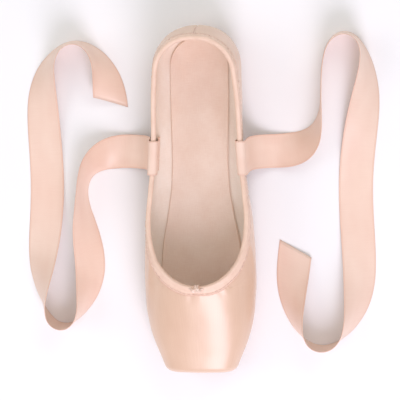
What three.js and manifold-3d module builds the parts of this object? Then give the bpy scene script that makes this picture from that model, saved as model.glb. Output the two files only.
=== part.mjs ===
// A pointe shoe standing empty on its sole: satin upper with a blocked toe box, leather outsole, insole,
// bound collar with a drawstring's knot at the throat, and two ribbons that lie on the floor beside it.
// Millimetres. +X points to the toe, +Z is up, and the origin is on the floor under the middle of the shoe.
// The last is straight, so the shoe is the same on both sides and fits either foot.
import * as THREE from "three";
import { mergeVertices } from "three/addons/utils/BufferGeometryUtils.js";
import Module from "manifold-3d";

const wasm = await Module();
wasm.setup();

// Driving dimensions
const LENGTH = 226; // heel back to platform
const BALL_WIDTH = 72; // widest part of the toe box
const INSTEP_HEIGHT = 51; // crown of the vamp at the throat, over the floor
const HEEL_HEIGHT = 54; // topline at the back of the heel, over the floor
const ARCH_RISE = 3.4; // clear height under the arch of the outsole
const PLATFORM_EDGE = 3.8; // rounding where the box turns onto the platform
const PLATFORM_TILT = 5; // degrees that the platform looks up
const PLATFORM_FOOT = 8; // lower edge of the flat platform, over the floor
const TOE_BLOCK = 44; // stretch over which the platform's tilt fades out
const HEEL_ROUND = 27; // plan radius of the heel
const HEEL_POWER = 2.2; // fullness of that round, where 2 is a circle
const HEEL_STRIP = 3; // half width of the flat strip at the heel's very back
const HEEL_UNDER = 9; // rounding where the heel turns under
const HEEL_BULGE = 22; // height of the rearmost point of the heel
const HEEL_LEAN = 4.6; // how far the topline leans forward of that point
const BOX_WALL = 3.0; // satin, canvas and paste of the toe box
const PLATFORM_WALL = 3.6;
const QUARTER_WALL = 1.4; // satin, canvas lining and counter
const SOLE_THICK = 2.5;
const INSOLE_THICK = 1.6;
const LASTING_MARGIN = 5; // upper turned in under the edge of the outsole
const FIT_GAP = 0.3; // between pieces that touch
const BINDING_WIDTH = 6; // casing round the topline, down each face of the wall
const BINDING_CLOTH = 0.7;
const BINDING_GAP = 0.5; // more than FIT_GAP, because its facets don't follow those of the wall
const BINDING_HEAD = 0.7; // room for the drawstring over the edge of the wall
const BINDING_STEPS = 32; // along each side of the shoe
const KNOT_RADIUS = 1.7; // knot of the drawstring, along the shoe
const KNOT_STRETCH = 1.9; // its width, as a multiple of that
const KNOT_DROP = 1.3; // its middle, on the binding below the edge of the wall
const CORD_RADIUS = 0.9; // drawstring
const CORD_TAIL = 11; // stretch of the drawstring's ends that hangs inside
const RIBBON_WIDTH = 22;
const RIBBON_THICK = 0.8;
const RIBBON_LIFT = 0.6; // middle of a ribbon that lies flat, over the floor
const RIBBON_PLACE = -30; // where along the shoe the ribbons are sewn into the quarters
const PLEAT_COUNT = 20;
const PLEAT_LENGTH = 16.5; // in front of the outsole
const PLEAT_SHORT = 5.5; // beside the outsole
const PLEAT_HEIGHT = 0.8;
const PLEAT_WIDTH = 3.2;
const PLEAT_ROOT = 1.6; // depth of a pleat's foot inside the wall
const RING_POINTS = 36;
const HALF_LENGTH = LENGTH / 2;
const REACH = 60; // half size of the blocks that cut the shoe
const LAYER_HEIGHT = 20; // height of the blocks that sole, insole and lasting margin are cut with

// Sections of the last. back: distance from the platform, as a share of LENGTH. half: share of half the
// BALL_WIDTH. rise: share of ARCH_RISE. widest and crown: shares of INSTEP_HEIGHT. under and over:
// roundness of the section below and above its widest point, where 2 is an ellipse.
const LAST = [
  { back: 0.0, half: 0.625, rise: 0.41, widest: 0.345, crown: 0.624, under: 2.6, over: 2.7 },
  { back: 0.049, half: 0.742, rise: 0.2, widest: 0.345, crown: 0.68, under: 2.7, over: 2.6 },
  { back: 0.088, half: 0.836, rise: 0.07, widest: 0.345, crown: 0.737, under: 2.8, over: 2.5 },
  { back: 0.142, half: 0.93, rise: 0.0, widest: 0.345, crown: 0.813, under: 2.9, over: 2.35 },
  { back: 0.204, half: 0.983, rise: 0.0, widest: 0.345, crown: 0.902, under: 2.9, over: 2.25 },
  { back: 0.274, half: 1.0, rise: 0.0, widest: 0.345, crown: 1.0, under: 2.9, over: 2.2 },
  { back: 0.354, half: 0.985, rise: 0.0, widest: 0.345, crown: 1.09, under: 2.9, over: 2.5 },
  { back: 0.442, half: 0.947, rise: 0.32, widest: 0.355, crown: 1.157, under: 2.8, over: 2.8 },
  { back: 0.531, half: 0.872, rise: 0.82, widest: 0.37, crown: 1.196, under: 2.7, over: 3.0 },
  { back: 0.62, half: 0.812, rise: 1.0, widest: 0.39, crown: 1.225, under: 2.6, over: 3.0 },
  { back: 0.708, half: 0.789, rise: 0.6, widest: 0.41, crown: 1.275, under: 2.6, over: 2.9 },
  { back: 0.796, half: 0.783, rise: 0.08, widest: 0.43, crown: 1.353, under: 2.6, over: 2.7 },
  { back: 0.885, half: 0.772, rise: 0.0, widest: 0.44, crown: 1.412, under: 2.6, over: 2.5 },
  { back: 1.0, half: 0.761, rise: 0.0, widest: 0.44, crown: 1.45, under: 2.6, over: 2.3 },
];

// Topline in side view. back: share of LENGTH. height: share of HEEL_HEIGHT.
// The first row is the throat, where the topline crosses the crown of the vamp.
const TOPLINE = [
  { back: 0.274, height: 0.9445 },
  { back: 0.319, height: 0.889 },
  { back: 0.372, height: 0.822 },
  { back: 0.434, height: 0.748 },
  { back: 0.504, height: 0.682 },
  { back: 0.593, height: 0.648 },
  { back: 0.681, height: 0.67 },
  { back: 0.779, height: 0.763 },
  { back: 0.876, height: 0.889 },
  { back: 0.947, height: 0.965 },
  { back: 1.0, height: 1.0 },
];

// Outlines of outsole and insole in plan, from the middle of the toe's round to the middle of the heel's.
// back: share of LENGTH. sole and insole: half widths as shares of half the BALL_WIDTH.
const BOTTOMS = [
  { back: 0.195, sole: 0.6, insole: 0.7 },
  { back: 0.274, sole: 0.628, insole: 0.73 },
  { back: 0.36, sole: 0.57, insole: 0.7 },
  { back: 0.45, sole: 0.44, insole: 0.6 },
  { back: 0.54, sole: 0.335, insole: 0.52 },
  { back: 0.62, sole: 0.3, insole: 0.5 },
  { back: 0.71, sole: 0.325, insole: 0.51 },
  { back: 0.8, sole: 0.385, insole: 0.52 },
  { back: 0.88, sole: 0.4, insole: 0.52 },
];

// Middle line of a ribbon from its sewn end inside the quarter, over the collar and down to the floor.
// out: distance from the shoe's middle plane. height: over the floor.
const RIBBON_HANG = [
  { out: 26, height: 15.5 },
  { out: 26.6, height: 19 },
  { out: 26.5, height: 22.5 },
  { out: 26, height: 26 },
  { out: 25.5, height: 29.5 },
  { out: 25.2, height: 33 },
  { out: 25.1, height: 36 },
  { out: 25.5, height: 37.6 },
  { out: 26.6, height: 38.4 },
  { out: 28.1, height: 38.6 },
  { out: 29.7, height: 38.4 },
  { out: 30.8, height: 37.4 },
  { out: 31.2, height: 35 },
  { out: 31.4, height: 30 },
  { out: 31.8, height: 22 },
  { out: 33.2, height: 14.2 },
  { out: 36.5, height: 7.4 },
  { out: 42, height: 3 },
  { out: 48.5, height: 1 },
];

// The rest of each ribbon, lying on the floor. roll: degrees from flat to standing on one edge in a turn.
const LEFT_LIE = [
  { x: -30.5, out: 56, roll: 8 },
  { x: -33, out: 64, roll: 27 },
  { x: -38.5, out: 71, roll: 52 },
  { x: -47, out: 76, roll: 76 },
  { x: -60, out: 78, roll: 88 },
  { x: -80, out: 78, roll: 88 },
  { x: -98, out: 81, roll: 90 },
  { x: -106.5, out: 88.5, roll: 90 },
  { x: -106, out: 98, roll: 90 },
  { x: -97.5, out: 104.5, roll: 84 },
  { x: -82, out: 107, roll: 60 },
  { x: -62, out: 106, roll: 30 },
  { x: -38, out: 102.5, roll: 8 },
  { x: -10, out: 100, roll: 0 },
  { x: 20, out: 101, roll: 2 },
  { x: 46, out: 102.5, roll: 12 },
  { x: 66, out: 101.5, roll: 34 },
  { x: 83, out: 97, roll: 64 },
  { x: 95.5, out: 88.5, roll: 86 },
  { x: 99.5, out: 77, roll: 90 },
  { x: 94, out: 66.5, roll: 86 },
  { x: 80, out: 60.5, roll: 62 },
  { x: 63, out: 58.5, roll: 32 },
  { x: 46, out: 59.5, roll: 8 },
  { x: 30, out: 61.5, roll: 0 },
];
const RIGHT_LIE = [
  { x: -29.5, out: 56, roll: 8 },
  { x: -27, out: 64, roll: 27 },
  { x: -21.5, out: 71, roll: 52 },
  { x: -13, out: 76, roll: 76 },
  { x: 2, out: 78, roll: 78 },
  { x: 23, out: 76, roll: 46 },
  { x: 44, out: 73.5, roll: 31 },
  { x: 62, out: 75, roll: 52 },
  { x: 76, out: 79.5, roll: 80 },
  { x: 84.5, out: 87, roll: 90 },
  { x: 84.5, out: 96.5, roll: 90 },
  { x: 76.5, out: 103, roll: 88 },
  { x: 61, out: 106, roll: 62 },
  { x: 41, out: 105.5, roll: 28 },
  { x: 17, out: 103, roll: 6 },
  { x: -10, out: 101.5, roll: 0 },
  { x: -38, out: 102.5, roll: 4 },
  { x: -60, out: 103, roll: 16 },
  { x: -79, out: 100.5, roll: 44 },
  { x: -94, out: 94, roll: 76 },
  { x: -102, out: 83.5, roll: 90 },
  { x: -99.5, out: 72, roll: 88 },
  { x: -89, out: 63.5, roll: 66 },
  { x: -74, out: 59.5, roll: 34 },
  { x: -58, out: 58.5, roll: 6 },
];

// Way of the drawstring's ends from the knot over the binding. over: beyond the edge of the wall.
// out: from the upper's outer face. aside: from the shoe's middle plane.
const CORD_WAY = [
  { over: 1.6, out: 2.8, aside: 1.2 },
  { over: 3, out: 0.9, aside: 1.6 },
  { over: 3.4, out: -2.2, aside: 1.9 },
];

// Even steps of distance back between two places.
function stepsBack(from, to, count) {
  return Array.from({ length: count + 1 }, (_, i) => THREE.MathUtils.lerp(from, to, i / count));
}

// A smooth curve without overshoot through one column of a table, as a function of the distance back.
function curveOf(rows, name) {
  const steps = rows.slice(1).map((row, i) => row.back - rows[i].back);
  const rates = rows.slice(1).map((row, i) => (row[name] - rows[i][name]) / steps[i]);
  const slopes = rows.map((row, i) => {
    const before = rates[i - 1] ?? rates[i];
    const after = rates[i] ?? rates[i - 1];
    return before * after > 0 ? (2 * before * after) / (before + after) : 0;
  });
  return (back) => {
    const share = THREE.MathUtils.clamp(back / LENGTH, rows[0].back, rows.at(-1).back);
    const i = Math.min(rows.findLastIndex((row) => row.back <= share), rows.length - 2);
    const u = (share - rows[i].back) / steps[i];
    const rest = 1 - u;
    return (
      rows[i][name] * (1 + 2 * u) * rest * rest +
      rows[i + 1][name] * (3 - 2 * u) * u * u +
      steps[i] * u * rest * (slopes[i] * rest - slopes[i + 1] * u)
    );
  };
}

const last = Object.fromEntries(Object.keys(LAST[0]).map((name) => [name, curveOf(LAST, name)]));
const toplineHeight = curveOf(TOPLINE, "height");
const topline = (back) => HEEL_HEIGHT * toplineHeight(back);
const soleRise = (back) => ARCH_RISE * last.rise(back);
const outside = () => 0;
const boxFade = (back) => THREE.MathUtils.smoothstep(back, 0.12 * LENGTH, 0.27 * LENGTH);
const wall = (back) => THREE.MathUtils.lerp(BOX_WALL, QUARTER_WALL, boxFade(back));

// How far a rounded edge of the given radius draws in, a distance from the end that it rounds.
function edgeInset(distance, radius) {
  const d = Math.min(distance, radius);
  return radius - Math.sqrt(radius * radius - (radius - d) * (radius - d));
}

// The section of the last a distance back from the platform, drawn in by an inset.
function sectionAt(back, inset) {
  const fromHeel = Math.max(0, LENGTH - back);
  const toeEdge = edgeInset(back, PLATFORM_EDGE);
  const heelShare = Math.min(1, fromHeel / HEEL_ROUND);
  const heelPlan = (1 - (1 - heelShare) ** HEEL_POWER) ** (1 / HEEL_POWER);
  const half = HEEL_STRIP + ((BALL_WIDTH / 2) * last.half(back) - HEEL_STRIP) * heelPlan;
  const bottom = FIT_GAP + SOLE_THICK + soleRise(back) + edgeInset(fromHeel, HEEL_UNDER);
  return {
    half: Math.max(0.5, half - toeEdge - inset),
    bottom: bottom + toeEdge + inset,
    widest: INSTEP_HEIGHT * last.widest(back),
    crown: INSTEP_HEIGHT * last.crown(back) - toeEdge - inset,
    under: last.under(back),
    over: last.over(back),
  };
}

// Place along the shoe of a point at height z on a section: the platform tilts and the heel's back curves.
function lengthwise(back, z, inset) {
  const toeFade = THREE.MathUtils.clamp(1 - back / TOE_BLOCK, 0, 1);
  const heelFade = THREE.MathUtils.clamp(1 - (LENGTH - back) / (2 * HEEL_ROUND), 0, 1);
  const tilt = Math.tan(THREE.MathUtils.degToRad(PLATFORM_TILT)) * (z - PLATFORM_FOOT) * toeFade;
  const lean = HEEL_LEAN * ((z - HEEL_BULGE) / (HEEL_HEIGHT - HEEL_BULGE)) ** 2 * heelFade ** 2;
  const ends = THREE.MathUtils.lerp(-inset(0), inset(LENGTH), back / LENGTH);
  return HALF_LENGTH - back + ends - tilt + lean;
}

// Distances back of the rings of a loft, closer together where the toe's edge and the heel turn.
const toeBacks = [0, 0.06, 0.25, 0.6, 1].map((share) => share * PLATFORM_EDGE);
const heelBacks = [1, 0.78, 0.58, 0.4, 0.25, 0.13, 0.04, 0].map((share) => LENGTH - share * HEEL_ROUND);
const middleBacks = stepsBack(PLATFORM_EDGE, LENGTH - HEEL_ROUND, 20).slice(1, -1);
const STATIONS = [...toeBacks, ...middleBacks, ...heelBacks];

// A closed solid through rings of points, each running anticlockwise as seen from the first ring.
// The halves of a ring are split along mirrored diagonals, so the two faces of a thin piece stay parallel.
// The end rings are closed by rungs from side to side, so a ring starts where it crosses its own middle,
// unless the rings go round in a loop.
function solidThrough(rings, loop = false) {
  const count = rings[0].length;
  const tail = (rings.length - 1) * count;
  const faces = [];
  for (let r = 0; r < rings.length - (loop ? 0 : 1); r += 1) {
    const following = ((r + 1) % rings.length) * count;
    for (let k = 0; k < count; k += 1) {
      const next = (k + 1) % count;
      const [a, b] = [r * count + k, r * count + next];
      const [c, d] = [following + k, following + next];
      faces.push(...(k < count / 2 ? [a, c, b, b, c, d] : [a, c, d, a, d, b]));
    }
  }
  for (let k = 0; k < count / 2 && !loop; k += 1) {
    const [a, b, c, d] = [k, k + 1, count - k - 1, (count - k) % count];
    const rungs = [[a, b, c], [a, c, d]].filter((corners) => new Set(corners).size === 3);
    rungs.forEach(([p, q, r]) => faces.push(p, q, r, tail + p, tail + r, tail + q));
  }
  const geometry = new THREE.BufferGeometry().setFromPoints(rings.flat());
  geometry.setIndex(faces);
  return solidOf(geometry);
}

// A three.js geometry as a solid that can be joined and cut.
function solidOf(geometry) {
  const bare = geometry.clone();
  bare.deleteAttribute("normal");
  bare.deleteAttribute("uv");
  const welded = mergeVertices(bare, 1e-5);
  const mesh = new wasm.Mesh({
    numProp: 3,
    vertProperties: new Float32Array(welded.getAttribute("position").array),
    triVerts: new Uint32Array(welded.getIndex().array),
  });
  return new wasm.Manifold(mesh);
}

// A point of the last's surface, at an angle round the section from its widest point on the left,
// drawn in from the upper's outer face by inset(back), or outside it where that is negative.
function surfacePoint(back, angle, inset) {
  const section = sectionAt(back, inset(back));
  const across = Math.cos(angle);
  const up = Math.sin(angle);
  const power = 2 / (up < 0 ? section.under : section.over);
  const reach = up < 0 ? section.widest - section.bottom : section.crown - section.widest;
  const y = section.half * Math.sign(across) * Math.abs(across) ** power;
  const z = section.widest + reach * Math.sign(up) * Math.abs(up) ** power;
  return new THREE.Vector3(lengthwise(back, z, inset), y, z);
}

// The last as a solid.
function lastSolid(inset) {
  const angles = Array.from({ length: RING_POINTS }, (_, k) => (2 * Math.PI * k) / RING_POINTS - Math.PI / 2);
  return solidThrough(STATIONS.map((back) => angles.map((angle) => surfacePoint(back, angle, inset))));
}

// A block across the shoe whose side view is the given outline of (distance back, height) pairs.
function sideBlock(outline) {
  const shape = new THREE.Shape(outline.map(([back, z]) => new THREE.Vector2(HALF_LENGTH - back, z)));
  const block = new THREE.ExtrudeGeometry(shape, { depth: 2 * REACH, bevelEnabled: false });
  block.rotateX(Math.PI / 2);
  block.translate(0, REACH, 0);
  return solidOf(block);
}

// A block standing on the floor whose plan is an outline of the table BOTTOMS, drawn in by a margin.
function planBlock(name, margin) {
  const half = curveOf(BOTTOMS, name);
  const from = LENGTH * BOTTOMS[0].back;
  const to = LENGTH * BOTTOMS.at(-1).back;
  const width = (back) => (BALL_WIDTH / 2) * half(back) - margin;
  const side = stepsBack(from, to, 14).map((back) => new THREE.Vector2(HALF_LENGTH - back, width(back)));
  const shape = new THREE.Shape();
  shape.absarc(HALF_LENGTH - from, 0, width(from), -Math.PI / 2, Math.PI / 2, false);
  side.slice(1, -1).forEach((point) => shape.lineTo(point.x, point.y));
  shape.absarc(HALF_LENGTH - to, 0, width(to), Math.PI / 2, (3 * Math.PI) / 2, false);
  side.slice(1, -1).reverse().forEach((point) => shape.lineTo(point.x, -point.y));
  const upwards = { depth: LAYER_HEIGHT, bevelEnabled: false, curveSegments: 16 };
  return solidOf(new THREE.ExtrudeGeometry(shape, upwards));
}

// Height of the upper's underside at a place in plan.
function undersideAt(x, y) {
  let back = HALF_LENGTH - x;
  let z = 0;
  for (let pass = 0; pass < 4; pass += 1) {
    const section = sectionAt(Math.max(0, back), 0);
    const across = Math.min(1, Math.abs(y) / section.half);
    const drop = (1 - across ** section.under) ** (1 / section.under);
    z = section.widest - (section.widest - section.bottom) * drop;
    back += lengthwise(back, z, outside) - x;
  }
  return z;
}

// One pleat under the toe: a ridge that runs out from the edge of the outsole and fades into the box.
function pleatAt(angle) {
  const middle = new THREE.Vector2(HALF_LENGTH - LENGTH * BOTTOMS[0].back, 0);
  const out = new THREE.Vector2(Math.cos(angle), Math.sin(angle));
  const side = new THREE.Vector2(-out.y, out.x);
  const from = (BALL_WIDTH / 2) * BOTTOMS[0].sole + 2 * FIT_GAP;
  const to = from + THREE.MathUtils.lerp(PLEAT_SHORT, PLEAT_LENGTH, Math.max(0, Math.cos(angle)) ** 1.5);
  const rings = [1, 0.5, 0].map((share) => {
    const radius = THREE.MathUtils.lerp(from, to, share);
    const height = THREE.MathUtils.lerp(PLEAT_HEIGHT, -PLEAT_ROOT / 4, share ** 2);
    const ridge = [
      { across: -PLEAT_WIDTH / 2, down: -PLEAT_ROOT },
      { across: -PLEAT_WIDTH / 6, down: height },
      { across: PLEAT_WIDTH / 6, down: height },
      { across: PLEAT_WIDTH / 2, down: -PLEAT_ROOT },
    ];
    return ridge.map(({ across, down }) => {
      const place = middle.clone().addScaledVector(out, radius).addScaledVector(side, across);
      return new THREE.Vector3(place.x, place.y, undersideAt(place.x, place.y) - down);
    });
  });
  return solidThrough(rings);
}

// A place on the upper's outer face: its point, its normal, and the thickness of the wall along that normal.
function faceAt(back, angle) {
  const step = 0.02;
  const near = THREE.MathUtils.clamp(back, step, LENGTH - step);
  const lengthways = surfacePoint(near - step, angle, outside).sub(surfacePoint(near + step, angle, outside));
  const round = surfacePoint(near, angle + step, outside).sub(surfacePoint(near, angle - step, outside));
  const point = surfacePoint(back, angle, outside);
  const normal = new THREE.Vector3().crossVectors(round, lengthways).normalize();
  const thick = point.clone().sub(surfacePoint(back, angle, wall)).dot(normal);
  return { back, angle, point, normal, thick };
}

// Places round the topline, each with the way down the wall. They start at the throat, go back along
// the left side and return along the right.
function toplinePlaces() {
  const leftSide = Array.from({ length: BINDING_STEPS + 1 }, (_, i) => {
    const share = THREE.MathUtils.smoothstep(i / BINDING_STEPS, 0, 1);
    const back = LENGTH * THREE.MathUtils.lerp(TOPLINE[0].back, 1, share);
    const section = sectionAt(back, 0);
    const climb = (topline(back) - section.widest) / (section.crown - section.widest);
    return { back, angle: Math.asin(Math.min(1, climb) ** (section.over / 2)) };
  });
  leftSide[0].angle = Math.PI / 2;
  const rightSide = leftSide.slice(1).reverse();
  const loop = [...leftSide, ...rightSide.map(({ back, angle }) => ({ back, angle: Math.PI - angle }))];
  const places = loop.map(({ back, angle }) => faceAt(back, angle));
  return places.map((place, i) => {
    const along = places[(i + 1) % places.length].point.clone().sub(places.at(i - 1).point);
    return { ...place, down: new THREE.Vector3().crossVectors(along, place.normal).normalize() };
  });
}
const edge = toplinePlaces();

// Upper: the shell of the last, open at the collar and underneath, with pleats where the satin is drawn in
const outerFace = lastSolid(outside);
const lining = lastSolid((back) => (back === 0 ? PLATFORM_WALL : wall(back)));
const insideEdge = edge.map(({ point, normal }) => point.clone().addScaledVector(normal, -REACH / 6));
const outsideEdge = edge.map(({ point, normal }) => point.clone().addScaledVector(normal, REACH / 6));
const farOver = outsideEdge.map((point) => new THREE.Vector3(point.x, point.y, point.z + 2 * REACH));
const overTopline = solidThrough([farOver, outsideEdge, insideEdge]);
const pleatAngles = Array.from({ length: PLEAT_COUNT }, (_, i) =>
  THREE.MathUtils.degToRad(THREE.MathUtils.lerp(-90, 90, i / (PLEAT_COUNT - 1))),
);
const pleated = pleatAngles.reduce((solid, angle) => solid.add(pleatAt(angle)), outerFace);
const upper = pleated
  .subtract(lining)
  .subtract(overTopline)
  .subtract(planBlock("sole", LASTING_MARGIN));

// Outsole: its outline under the upper, flat at heel and forefoot and hollow under the arch
const underSole = sideBlock([
  ...stepsBack(0, LENGTH, 56).map((back) => [back, soleRise(back)]),
  [LENGTH, -REACH],
  [0, -REACH],
]);
const soleClearance = lastSolid(() => -FIT_GAP);
const outsole = planBlock("sole", 0).subtract(soleClearance).subtract(underSole);

// Insole: a layer on the lining's floor
const insoleBottom = lastSolid((back) => wall(back) + FIT_GAP);
const insoleTop = lastSolid((back) => wall(back) + FIT_GAP + INSOLE_THICK);
const insole = insoleBottom.subtract(insoleTop).intersect(planBlock("insole", 0));

// The place on the upper's outer face nearest to a point a little way down from the topline.
function onFace(target, start) {
  let { back, angle } = start;
  const step = 0.01;
  for (let pass = 0; pass < 5; pass += 1) {
    const point = surfacePoint(back, angle, outside);
    const backward = point.clone().sub(surfacePoint(back - step, angle, outside)).divideScalar(step);
    const round = surfacePoint(back, angle + step, outside).sub(point).divideScalar(step);
    const off = target.clone().sub(point);
    const [bb, rr, br] = [backward.lengthSq(), round.lengthSq(), backward.dot(round)];
    const [ob, or] = [off.dot(backward), off.dot(round)];
    const scale = bb * rr - br * br;
    back = THREE.MathUtils.clamp(back + (ob * rr - or * br) / scale, step, LENGTH);
    angle += (or * bb - ob * br) / scale;
  }
  return faceAt(back, angle);
}

// Binding: a folded casing over the edge of the wall, all round the topline
const binding = solidThrough(
  edge.map((place) => {
    const rim = BINDING_GAP + BINDING_CLOTH;
    const hem = onFace(place.point.clone().addScaledVector(place.down, BINDING_WIDTH), place);
    const atHem = (out) => hem.point.clone().addScaledVector(hem.normal, out);
    const atEdge = (over, out) =>
      place.point.clone().addScaledVector(place.down, -over).addScaledVector(place.normal, out);
    const top = BINDING_HEAD + BINDING_CLOTH;
    return [
      atEdge(top, -place.thick - BINDING_GAP),
      atEdge(BINDING_HEAD, -place.thick - rim),
      atHem(-hem.thick - rim),
      atHem(-hem.thick - BINDING_GAP),
      atEdge(BINDING_HEAD, -place.thick - BINDING_GAP),
      atEdge(BINDING_HEAD, BINDING_GAP),
      atHem(BINDING_GAP),
      atHem(rim),
      atEdge(BINDING_HEAD, rim),
      atEdge(top, BINDING_GAP),
    ];
  }),
  true,
);

// How much the quarter widens towards the toe where a ribbon crosses it
const sewnBack = HALF_LENGTH - RIBBON_PLACE;
const widthAtEdge = (toToe) => sectionAt(sewnBack - (toToe * RIBBON_WIDTH) / 2, 0).half;
const quarterFlare = (widthAtEdge(1) - widthAtEdge(-1)) / RIBBON_WIDTH;

// A ribbon: its flat section carried along its route, with its width along the quarter while it hangs
function ribbonSolid(side, lie) {
  const rows = [
    ...RIBBON_HANG.map(({ out, height }) => ({ x: RIBBON_PLACE, out, z: height, roll: 0 })),
    ...lie.map((row) => {
      const roll = THREE.MathUtils.degToRad(row.roll);
      return { x: row.x, out: row.out, z: (RIBBON_WIDTH / 2) * Math.sin(roll) + RIBBON_LIFT, roll };
    }),
  ];
  const curve = new THREE.CatmullRomCurve3(rows.map(({ x, out, z }) => new THREE.Vector3(x, side * out, z)));
  const steps = 2 * (rows.length - 1);
  const rings = Array.from({ length: steps + 1 }, (_, i) => {
    const row = Math.min(Math.floor(i / 2), rows.length - 2);
    const roll = THREE.MathUtils.lerp(rows[row].roll, rows[row + 1].roll, i / 2 - row);
    const middle = curve.getPoint(i / steps);
    const along = curve.getTangent(i / steps);
    const hanging = row + 1 < RIBBON_HANG.length;
    const flat = hanging ? new THREE.Vector3(side, quarterFlare, 0) : new THREE.Vector3(along.y, -along.x, 0);
    flat.normalize();
    if (!hanging) middle.z = (RIBBON_WIDTH / 2) * Math.sin(roll) + RIBBON_LIFT;
    const across = flat.multiplyScalar(Math.cos(roll)).add(new THREE.Vector3(0, 0, Math.sin(roll)));
    const face = new THREE.Vector3().crossVectors(along, across).normalize();
    const corners = [
      { wide: -1, thick: -1 },
      { wide: -1, thick: 1 },
      { wide: 1, thick: 1 },
      { wide: 1, thick: -1 },
    ];
    return corners.map(({ wide, thick }) =>
      middle
        .clone()
        .addScaledVector(across, (wide * RIBBON_WIDTH) / 2)
        .addScaledVector(face, (thick * RIBBON_THICK) / 2),
    );
  });
  return solidThrough(rings);
}

// Drawstring's knot on the binding at the throat, with its two ends over the edge and hanging inside
const throat = edge[0];
const atThroat = (over, out) =>
  throat.point.clone().addScaledVector(throat.down, -over).addScaledVector(throat.normal, out);
const knotPlace = atThroat(-KNOT_DROP, BINDING_GAP + BINDING_CLOTH + FIT_GAP + KNOT_RADIUS);
const knotTurn = new THREE.Matrix4().makeBasis(throat.down, new THREE.Vector3(0, 1, 0), throat.normal);
const knot = new THREE.SphereGeometry(KNOT_RADIUS, 12, 8).scale(1, KNOT_STRETCH, 1);
knot.applyMatrix4(knotTurn.setPosition(knotPlace));
function cordTail(side) {
  const overEdge = CORD_WAY.map(({ over, out, aside }) => atThroat(over, out).setY(side * aside));
  const tip = overEdge.at(-1).clone();
  tip.z -= CORD_TAIL;
  const route = new THREE.CatmullRomCurve3([knotPlace, ...overEdge, tip]);
  const round = new THREE.Shape().absarc(0, 0, CORD_RADIUS, 0, 2 * Math.PI, false);
  return new THREE.ExtrudeGeometry(round, { steps: 9, curveSegments: 6, extrudePath: route });
}
const drawstringKnot = solidOf(knot).add(solidOf(cordTail(1))).add(solidOf(cordTail(-1)));

function material(colour, roughness) {
  return new THREE.MeshStandardMaterial({ color: colour, roughness, metalness: 0 });
}

function meshOf(name, solid, look) {
  const { numProp, vertProperties, triVerts } = solid.getMesh();
  const geometry = new THREE.BufferGeometry();
  geometry.setAttribute("position", new THREE.BufferAttribute(new Float32Array(vertProperties), numProp));
  geometry.setIndex(new THREE.BufferAttribute(new Uint32Array(triVerts), 1));
  geometry.computeVertexNormals();
  const mesh = new THREE.Mesh(geometry, look);
  mesh.name = name;
  return mesh;
}

const shoe = new THREE.Group();
shoe.name = "pointe_shoe";
shoe.add(
  meshOf("upper", upper, material("#f0cbb6", 0.38)),
  meshOf("outsole", outsole, material("#cda896", 0.7)),
  meshOf("insole", insole, material("#e6d3c0", 0.75)),
  meshOf("binding", binding, material("#f4d8c6", 0.45)),
  meshOf("drawstring_knot", drawstringKnot, material("#f6e3d6", 0.7)),
  meshOf("ribbon_left", ribbonSolid(1, LEFT_LIE), material("#f3d6c8", 0.4)),
  meshOf("ribbon_right", ribbonSolid(-1, RIGHT_LIE), material("#f3d6c8", 0.4)),
);

export default shoe;
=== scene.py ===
"""Finishes of a pointe shoe that stands empty on its sole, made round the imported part.

Sizes are in millimetres, in the part's frame: +X to the toe, +Y to the left side, +Z up from the floor.
"""
import math

import bpy
import numpy as np
from mathutils import Matrix, Vector
from mathutils.bvhtree import BVHTree


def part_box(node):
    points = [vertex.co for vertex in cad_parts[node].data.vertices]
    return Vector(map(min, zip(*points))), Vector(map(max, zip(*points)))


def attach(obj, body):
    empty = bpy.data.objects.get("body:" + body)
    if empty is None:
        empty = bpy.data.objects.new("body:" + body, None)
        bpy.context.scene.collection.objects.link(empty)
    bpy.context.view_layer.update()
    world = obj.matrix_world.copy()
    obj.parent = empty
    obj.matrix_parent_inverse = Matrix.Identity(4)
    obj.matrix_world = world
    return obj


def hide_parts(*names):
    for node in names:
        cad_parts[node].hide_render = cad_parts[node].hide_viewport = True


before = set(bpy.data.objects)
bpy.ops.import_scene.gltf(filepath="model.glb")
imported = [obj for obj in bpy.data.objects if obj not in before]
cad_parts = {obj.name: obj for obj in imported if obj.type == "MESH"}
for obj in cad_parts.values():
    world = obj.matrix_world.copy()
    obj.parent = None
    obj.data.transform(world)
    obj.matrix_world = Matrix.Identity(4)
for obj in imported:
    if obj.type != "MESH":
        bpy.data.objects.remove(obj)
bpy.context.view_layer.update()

MM = 0.001
BODY = "root"
LEFT = 1
RIGHT = -1
TINY = 1e-12
MERGE = 0.002  # points of a piece nearer than this become one
upper_low, upper_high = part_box("upper")

# Driving dimensions, as the part has them
LENGTH = (upper_high.x - upper_low.x) / MM
HALF_LENGTH = LENGTH / 2
HALF_BALL = (upper_high.y - upper_low.y) / MM / 2
INSTEP_HEIGHT = 51
HEEL_HEIGHT = 54
ARCH_RISE = 3.4
PLATFORM_EDGE = 3.8
PLATFORM_TILT = math.radians(5)
PLATFORM_FOOT = 8
TOE_BLOCK = 44
HEEL_ROUND = 27
HEEL_POWER = 2.2
HEEL_UNDER = 9
HEEL_BULGE = 22
HEEL_LEAN = 4.6
BOX_WALL = 3.0
QUARTER_WALL = 1.4
WALL_THINS = (0.12 * LENGTH, 0.27 * LENGTH)  # distances back between which the wall thins
SOLE_THICK = 2.5
INSOLE_THICK = 1.6
FIT_GAP = 0.3
BINDING_WIDTH = 6
RIBBON_WIDTH = 22
RIBBON_LIFT = 0.6
RIBBON_PLACE = -30
PLEAT_COUNT = 20
PLEAT_LENGTH = 16.5
PLEAT_SHORT = 5.5
PLEAT_HEIGHT = 0.9
KNOT_RADIUS = 1.7
KNOT_DROP = 1.3
CORD_TAIL = 11

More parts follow.
